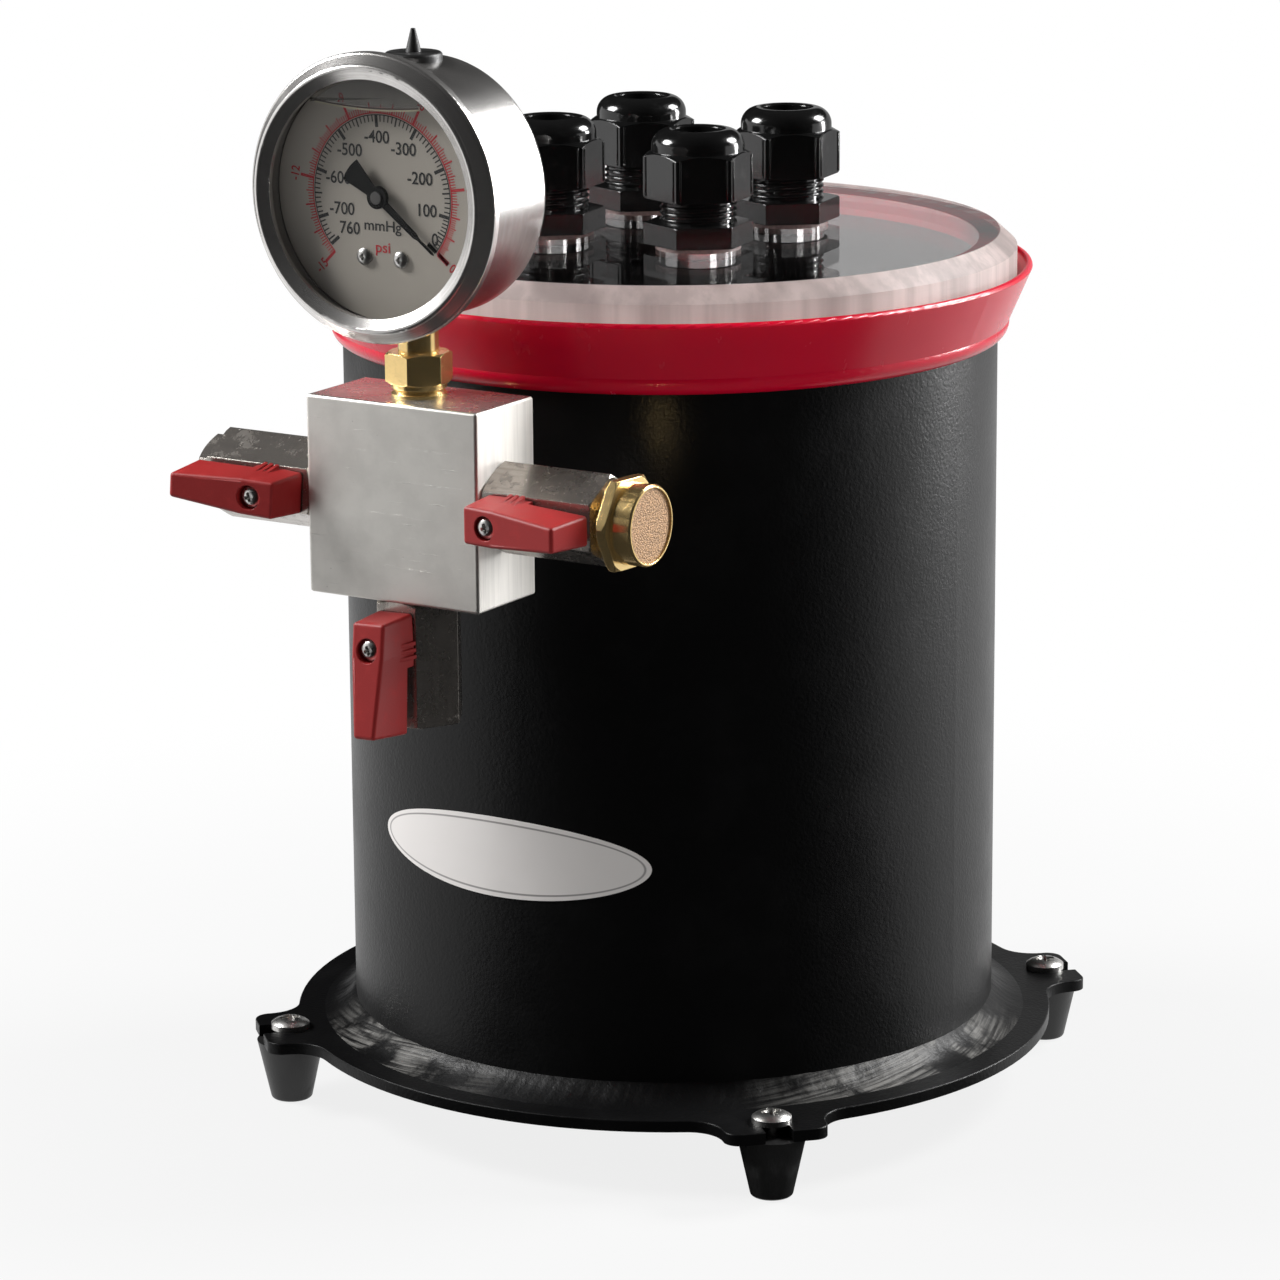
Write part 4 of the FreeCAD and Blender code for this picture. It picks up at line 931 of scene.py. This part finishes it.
class TRAP_OT_stage(bpy.types.Operator):
    """Camera, floor, soft lights and the dark cards that black and polished parts mirror"""
    bl_idname = "trap.stage"
    bl_label = "Studio"

    def execute(self, context):
        s = context.scene.trap_studio
        self.camera(context)
        self.world(context, s)
        self.floor()
        self.dark_cards(s)
        self.softbox("key_light", -62, 38, (0.34, 0.34), s.key)
        self.softbox("rim_light", 140, 38, (0.34, 0.34), s.rim)
        self.softbox("side_light", 122, 12, (0.2, 0.3), s.side).visible_glossy = False
        self.softbox("fill_light", 75, 15, (0.3, 0.3), s.fill).visible_glossy = False
        self.softbox("right_strip", 139, 10, (0.08, 0.36), s.strip).visible_diffuse = False
        return {"FINISHED"}

    def away(self, azimuth, elevation):
        """Direction from the object, for radians from the front toward the right and up."""
        return Vector((math.sin(azimuth) * math.cos(elevation),
                       -math.cos(azimuth) * math.cos(elevation), math.sin(elevation)))

    def camera(self, context):
        """Camera that was fitted to the photograph"""
        data = bpy.data.cameras.new("camera")
        data.lens = 145.43
        data.sensor_width = 36
        data.clip_end = 100
        azimuth, elevation, roll = (math.radians(a) for a in (31.913, 13.97, -0.407))
        place = Matrix.Translation((0.68599, -1.11726, 0.44297))
        back = self.away(azimuth, elevation)
        right = Vector((math.cos(azimuth), math.sin(azimuth), 0))
        top = back.cross(right)
        level = right * math.cos(roll) + top * math.sin(roll)
        tall = top * math.cos(roll) - right * math.sin(roll)
        made = bpy.data.objects.new("camera", data)
        context.scene.collection.objects.link(made)
        made.matrix_world = place @ Matrix((level, tall, back)).transposed().to_4x4()
        context.scene.camera = made

    def world(self, context, s):
        world = bpy.data.worlds.new("studio")
        world.use_nodes = True
        tree = Tree(world.node_tree, "ShaderNodeOutputWorld")
        power = tree.background_rays().ramp(0, 1, s.ambient, 1)
        tree.show(tree.node("ShaderNodeBackground", None,
                            {"Color": (1, 1, 1), "Strength": power}))
        context.scene.world = world

    def floor(self):
        """Grey floor that takes the object's shadow. It is seen as white, and a little
        darker near the object."""
        f = Finish("pale_floor")
        white = f.background_rays() * f.radius().ramp(0.13, 0.4, 0.84, 1.0)
        matt = f.surface(Base_Color=(0.35, 0.35, 0.35), Roughness=0.9, Specular_IOR_Level=0.0)
        bm = bmesh.new()
        bmesh.ops.create_circle(bm, cap_ends=True, segments=64, radius=6.0,
                                matrix=Matrix.Translation((0, 0, -0.1 * MM)))
        self.keep(bm, "floor", f.done(f.blend(white, matt, f.glowing())))

    def dark_cards(self, s):
        """The dark side of the studio, which only mirror-like surfaces see: a wall and a
        floor card round the camera's side, a ceiling, and a wall behind the object that is
        dim on one side and black on the other."""
        f = Finish("black_card")
        black = f.done(f.surface(Base_Color=(0.004, 0.004, 0.004), Roughness=1.0,
                                 Specular_IOR_Level=0.0))
        f = Finish("dim_card")
        dim = f.done(f.glowing(s.dim))
        around = (s.dark_from, s.dark_to)
        self.card("dark_wall", black, 1.0, around)
        self.card("dark_roof", black, 1.01, None, s.roof_from)
        self.card("dim_wall", dim, 1.02, (s.dim_from, s.dim_to))
        self.card("back_wall", black, 1.03, (s.dim_to, s.back_to))
        bm = bmesh.new()
        bmesh.ops.create_circle(bm, cap_ends=True, segments=96, radius=1.0,
                                matrix=Matrix.Translation((0, 0, 0.5 * MM)))
        self.slice(bm, around)
        self.mirror_only(self.keep(bm, "dark_card", black))

    def card(self, name, material, radius, ends, low=0.001):
        """Part of a sphere round the object, between two directions and above a height."""
        bm = bmesh.new()
        bmesh.ops.create_uvsphere(bm, u_segments=96, v_segments=48, radius=radius)
        cut_off(bm, (0, 0, radius * math.sin(low)), (0, 0, -1))
        if ends:
            self.slice(bm, ends)
        self.mirror_only(self.keep(bm, name, material))

    def slice(self, bm, ends):
        for turn in (ends[0] - math.pi / 2, ends[1] + math.pi / 2):
            cut_off(bm, (0, 0, 0), self.away(turn, 0))

    def mirror_only(self, flag):
        flag.visible_camera = False
        flag.visible_diffuse = False
        flag.visible_transmission = False
        flag.visible_shadow = False

    def softbox(self, name, azimuth_deg, elevation_deg, size, radiance):
        """Rectangular light, aimed at the middle of the object"""
        distance = 0.9
        middle = Vector((0, 0, 0.13))
        away = self.away(math.radians(azimuth_deg), math.radians(elevation_deg))
        data = bpy.data.lights.new(name, "AREA")
        data.shape = "RECTANGLE"
        data.size, data.size_y = size
        data.energy = radiance * math.pi * size[0] * size[1]
        made = bpy.data.objects.new(name, data)
        bpy.context.scene.collection.objects.link(made)
        made.location = middle + away * distance
        made.rotation_mode = "QUATERNION"
        made.rotation_quaternion = away.to_track_quat("Z", "Y")
        made.visible_camera = False
        return made

    def keep(self, bm, name, material):
        made = place_mesh(bm, name, material)
        return made


class TRAP_OT_vessel(bpy.types.Operator):
    """Powder coat on the vessel and plate, the rippled weld, screws, feet and label"""
    bl_idname = "trap.vessel"
    bl_label = "Vessel"

    def execute(self, context):
        s = context.scene.trap_vessel
        dress(powder_coat(s), "vessel_tube", "base_weld", "outlet_weld")
        dress(powder_coat(s, "plate_powder_coat", 0.12), "base_plate")
        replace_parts(weld_bead(s), "base_weld")
        shared_finish["rubber"] = rubber(s)
        shared_finish["zinc"] = zinc(s)
        dress(shared_finish["rubber"], "foot_1", "foot_2", "foot_3", "foot_4")
        dress(shared_finish["zinc"], "foot_screws", "foot_bushes")
        dress(label_stock(s), "vessel_label")
        return {"FINISHED"}


class TRAP_OT_lid(bpy.types.Operator):
    """Clear acrylic lid with its sawn edge, and the red silicone gasket"""
    bl_idname = "trap.lid"
    bl_label = "Lid and gasket"

    def execute(self, context):
        s = context.scene.trap_seal
        dress(acrylic(s), "lid_disc")
        dress(silicone(s), "rim_gasket")
        return {"FINISHED"}


class TRAP_OT_glands(bpy.types.Operator):
    """Black nylon hose glands with their threads, ribs, seals and washers"""
    bl_idname = "trap.glands"
    bl_label = "Hose glands"

    def execute(self, context):
        s = context.scene.trap_gland
        shared_finish["nylon"] = nylon(s)
        dress(washer_rubber(s), "gland_washers")
        dress(shared_finish["rubber"], "gland_seals")
        for k in (1, 2, 3, 4):
            body, nut = "gland_body_%d" % k, "gland_nut_%d" % k
            dress(shared_finish["nylon"], body, nut)
            nut_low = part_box(nut)[0].z
            centre = node_centre(body)
            centre.z = 0
            gland_thread("gland_thread_%d" % k, centre, s, nut_low - 6.1 * MM,
                         nut_low + 0.5 * MM)
            grip_ribs("gland_ribs_%d" % k, nut, "gland_nut_body_%d" % k, s)
        return {"FINISHED"}


class TRAP_OT_manifold(bpy.types.Operator):
    """Aluminium block, brass nipple, three ball valves with levers, and the silencer"""
    bl_idname = "trap.manifold"
    bl_label = "Manifold"

    def execute(self, context):
        s = context.scene.trap_metal
        dress(block_aluminium(s), "manifold_block")
        brass = turned_metal("brass", s.brass, 0.13, 0.25, 0.3 * MM, 0.25 * MM)
        shared_finish["brass"] = brass
        dress(brass, "outlet_nipple", "silencer_body")
        dress(sintered(s), "silencer_disc")
        lying = nickel(s, "valve_chrome", (0.05, 1, 0.6))
        upright = nickel(s, "upright_valve_chrome", (1, 0.6, 0.05))
        polished = turned_metal("valve_ball", s.steel, 0.08, 0.05)
        levers = moulded_handle(s)
        seats = seat_plastic()
        for side in ("right", "left", "bottom"):
            plating = upright if side == "bottom" else lying
            dress(plating, side + "_valve_body", side + "_valve_insert")
            dress(polished, side + "_valve_ball", side + "_valve_stem")
            dress(seats, side + "_valve_seats")
            dress(levers, side + "_valve_handle")
            dress(shared_finish["zinc"], side + "_valve_screw")
        return {"FINISHED"}


class TRAP_OT_gauge(bpy.types.Operator):
    """Polished gauge with its printed dial, pointer, liquid level, window and plug"""
    bl_idname = "trap.gauge"
    bl_label = "Gauge"

    def execute(self, context):
        s = context.scene.trap_dial
        metal = context.scene.trap_metal
        dress(gauge_steel("gauge_bezel_steel", metal.steel, 0.17), "gauge_bezel")
        # Painted shade: the case's steel is a darker copy of the bezel's, standing in for the
        # darker surroundings it mirrors.
        dress(gauge_steel("gauge_steel", scaled(metal.steel, 0.6), 0.2), "gauge_case")
        dress(shared_finish["brass"], "gauge_stem", "gauge_movement")
        dress(window_glass(), "gauge_window")
        dress(dial_plate(s), "gauge_dial")
        dress(shared_finish["zinc"], "gauge_dial_screws")
        dress(turned_metal("spindle_steel", scaled(metal.steel, 0.16), 0.35, 0.4),
              "gauge_spindle")
        dress(pointer_paint(s), "gauge_pointer")
        dress(shared_finish["rubber"], "gauge_plug")
        shared_finish["ink"] = ink("dial_ink", s.ink)
        shared_finish["red_ink"] = ink("dial_red_ink", s.red_ink)
        black_scale(s)
        black_numbers(s)
        red_scale(s)
        red_numbers(s)
        # The air sheet is painted shade.
        air_space(painted_air_shade(s))
        # The dark liquid line is painted shade and the pale one a painted highlight.
        meniscus("gauge_liquid_edge", 0, 0.4 * MM, ink("liquid_edge", s.edge))
        meniscus("gauge_liquid_light", 0.45 * MM, 0.35 * MM, ink("liquid_light", s.light))
        return {"FINISHED"}


class TRAP_PT_panel(bpy.types.Panel):
    """Buttons that build the looks of the resin trap"""
    bl_idname = "TRAP_PT_panel"
    bl_label = "Resin trap"
    bl_space_type = "VIEW_3D"
    bl_region_type = "UI"
    bl_category = "Resin trap"

    def draw(self, context):
        for operator in OPERATORS:
            self.layout.operator(operator.bl_idname)
        for group in GROUPS:
            settings = getattr(context.scene, group)
            box = self.layout.box()
            for name in settings.__annotations__:
                box.prop(settings, name)


GROUPS = {"trap_vessel": VesselSettings, "trap_seal": SealSettings, "trap_gland": GlandSettings,
          "trap_metal": MetalSettings, "trap_dial": DialSettings, "trap_studio": StudioSettings}
OPERATORS = (TRAP_OT_stage, TRAP_OT_vessel, TRAP_OT_lid, TRAP_OT_glands, TRAP_OT_manifold,
             TRAP_OT_gauge)


def register():
    for group in GROUPS.values():
        bpy.utils.register_class(group)
    for name, group in GROUPS.items():
        setattr(bpy.types.Scene, name, PointerProperty(type=group))
    for operator in OPERATORS:
        bpy.utils.register_class(operator)
    bpy.utils.register_class(TRAP_PT_panel)


def unregister():
    bpy.utils.unregister_class(TRAP_PT_panel)
    for operator in reversed(OPERATORS):
        bpy.utils.unregister_class(operator)
    for name in GROUPS:
        delattr(bpy.types.Scene, name)
    for group in reversed(list(GROUPS.values())):
        bpy.utils.unregister_class(group)


def main():
    register()
    bpy.context.scene.view_settings.view_transform = "Standard"
    bpy.ops.trap.stage()
    bpy.ops.trap.vessel()
    bpy.ops.trap.lid()
    bpy.ops.trap.glands()
    bpy.ops.trap.manifold()
    bpy.ops.trap.gauge()


if __name__ == "__main__":
    main()
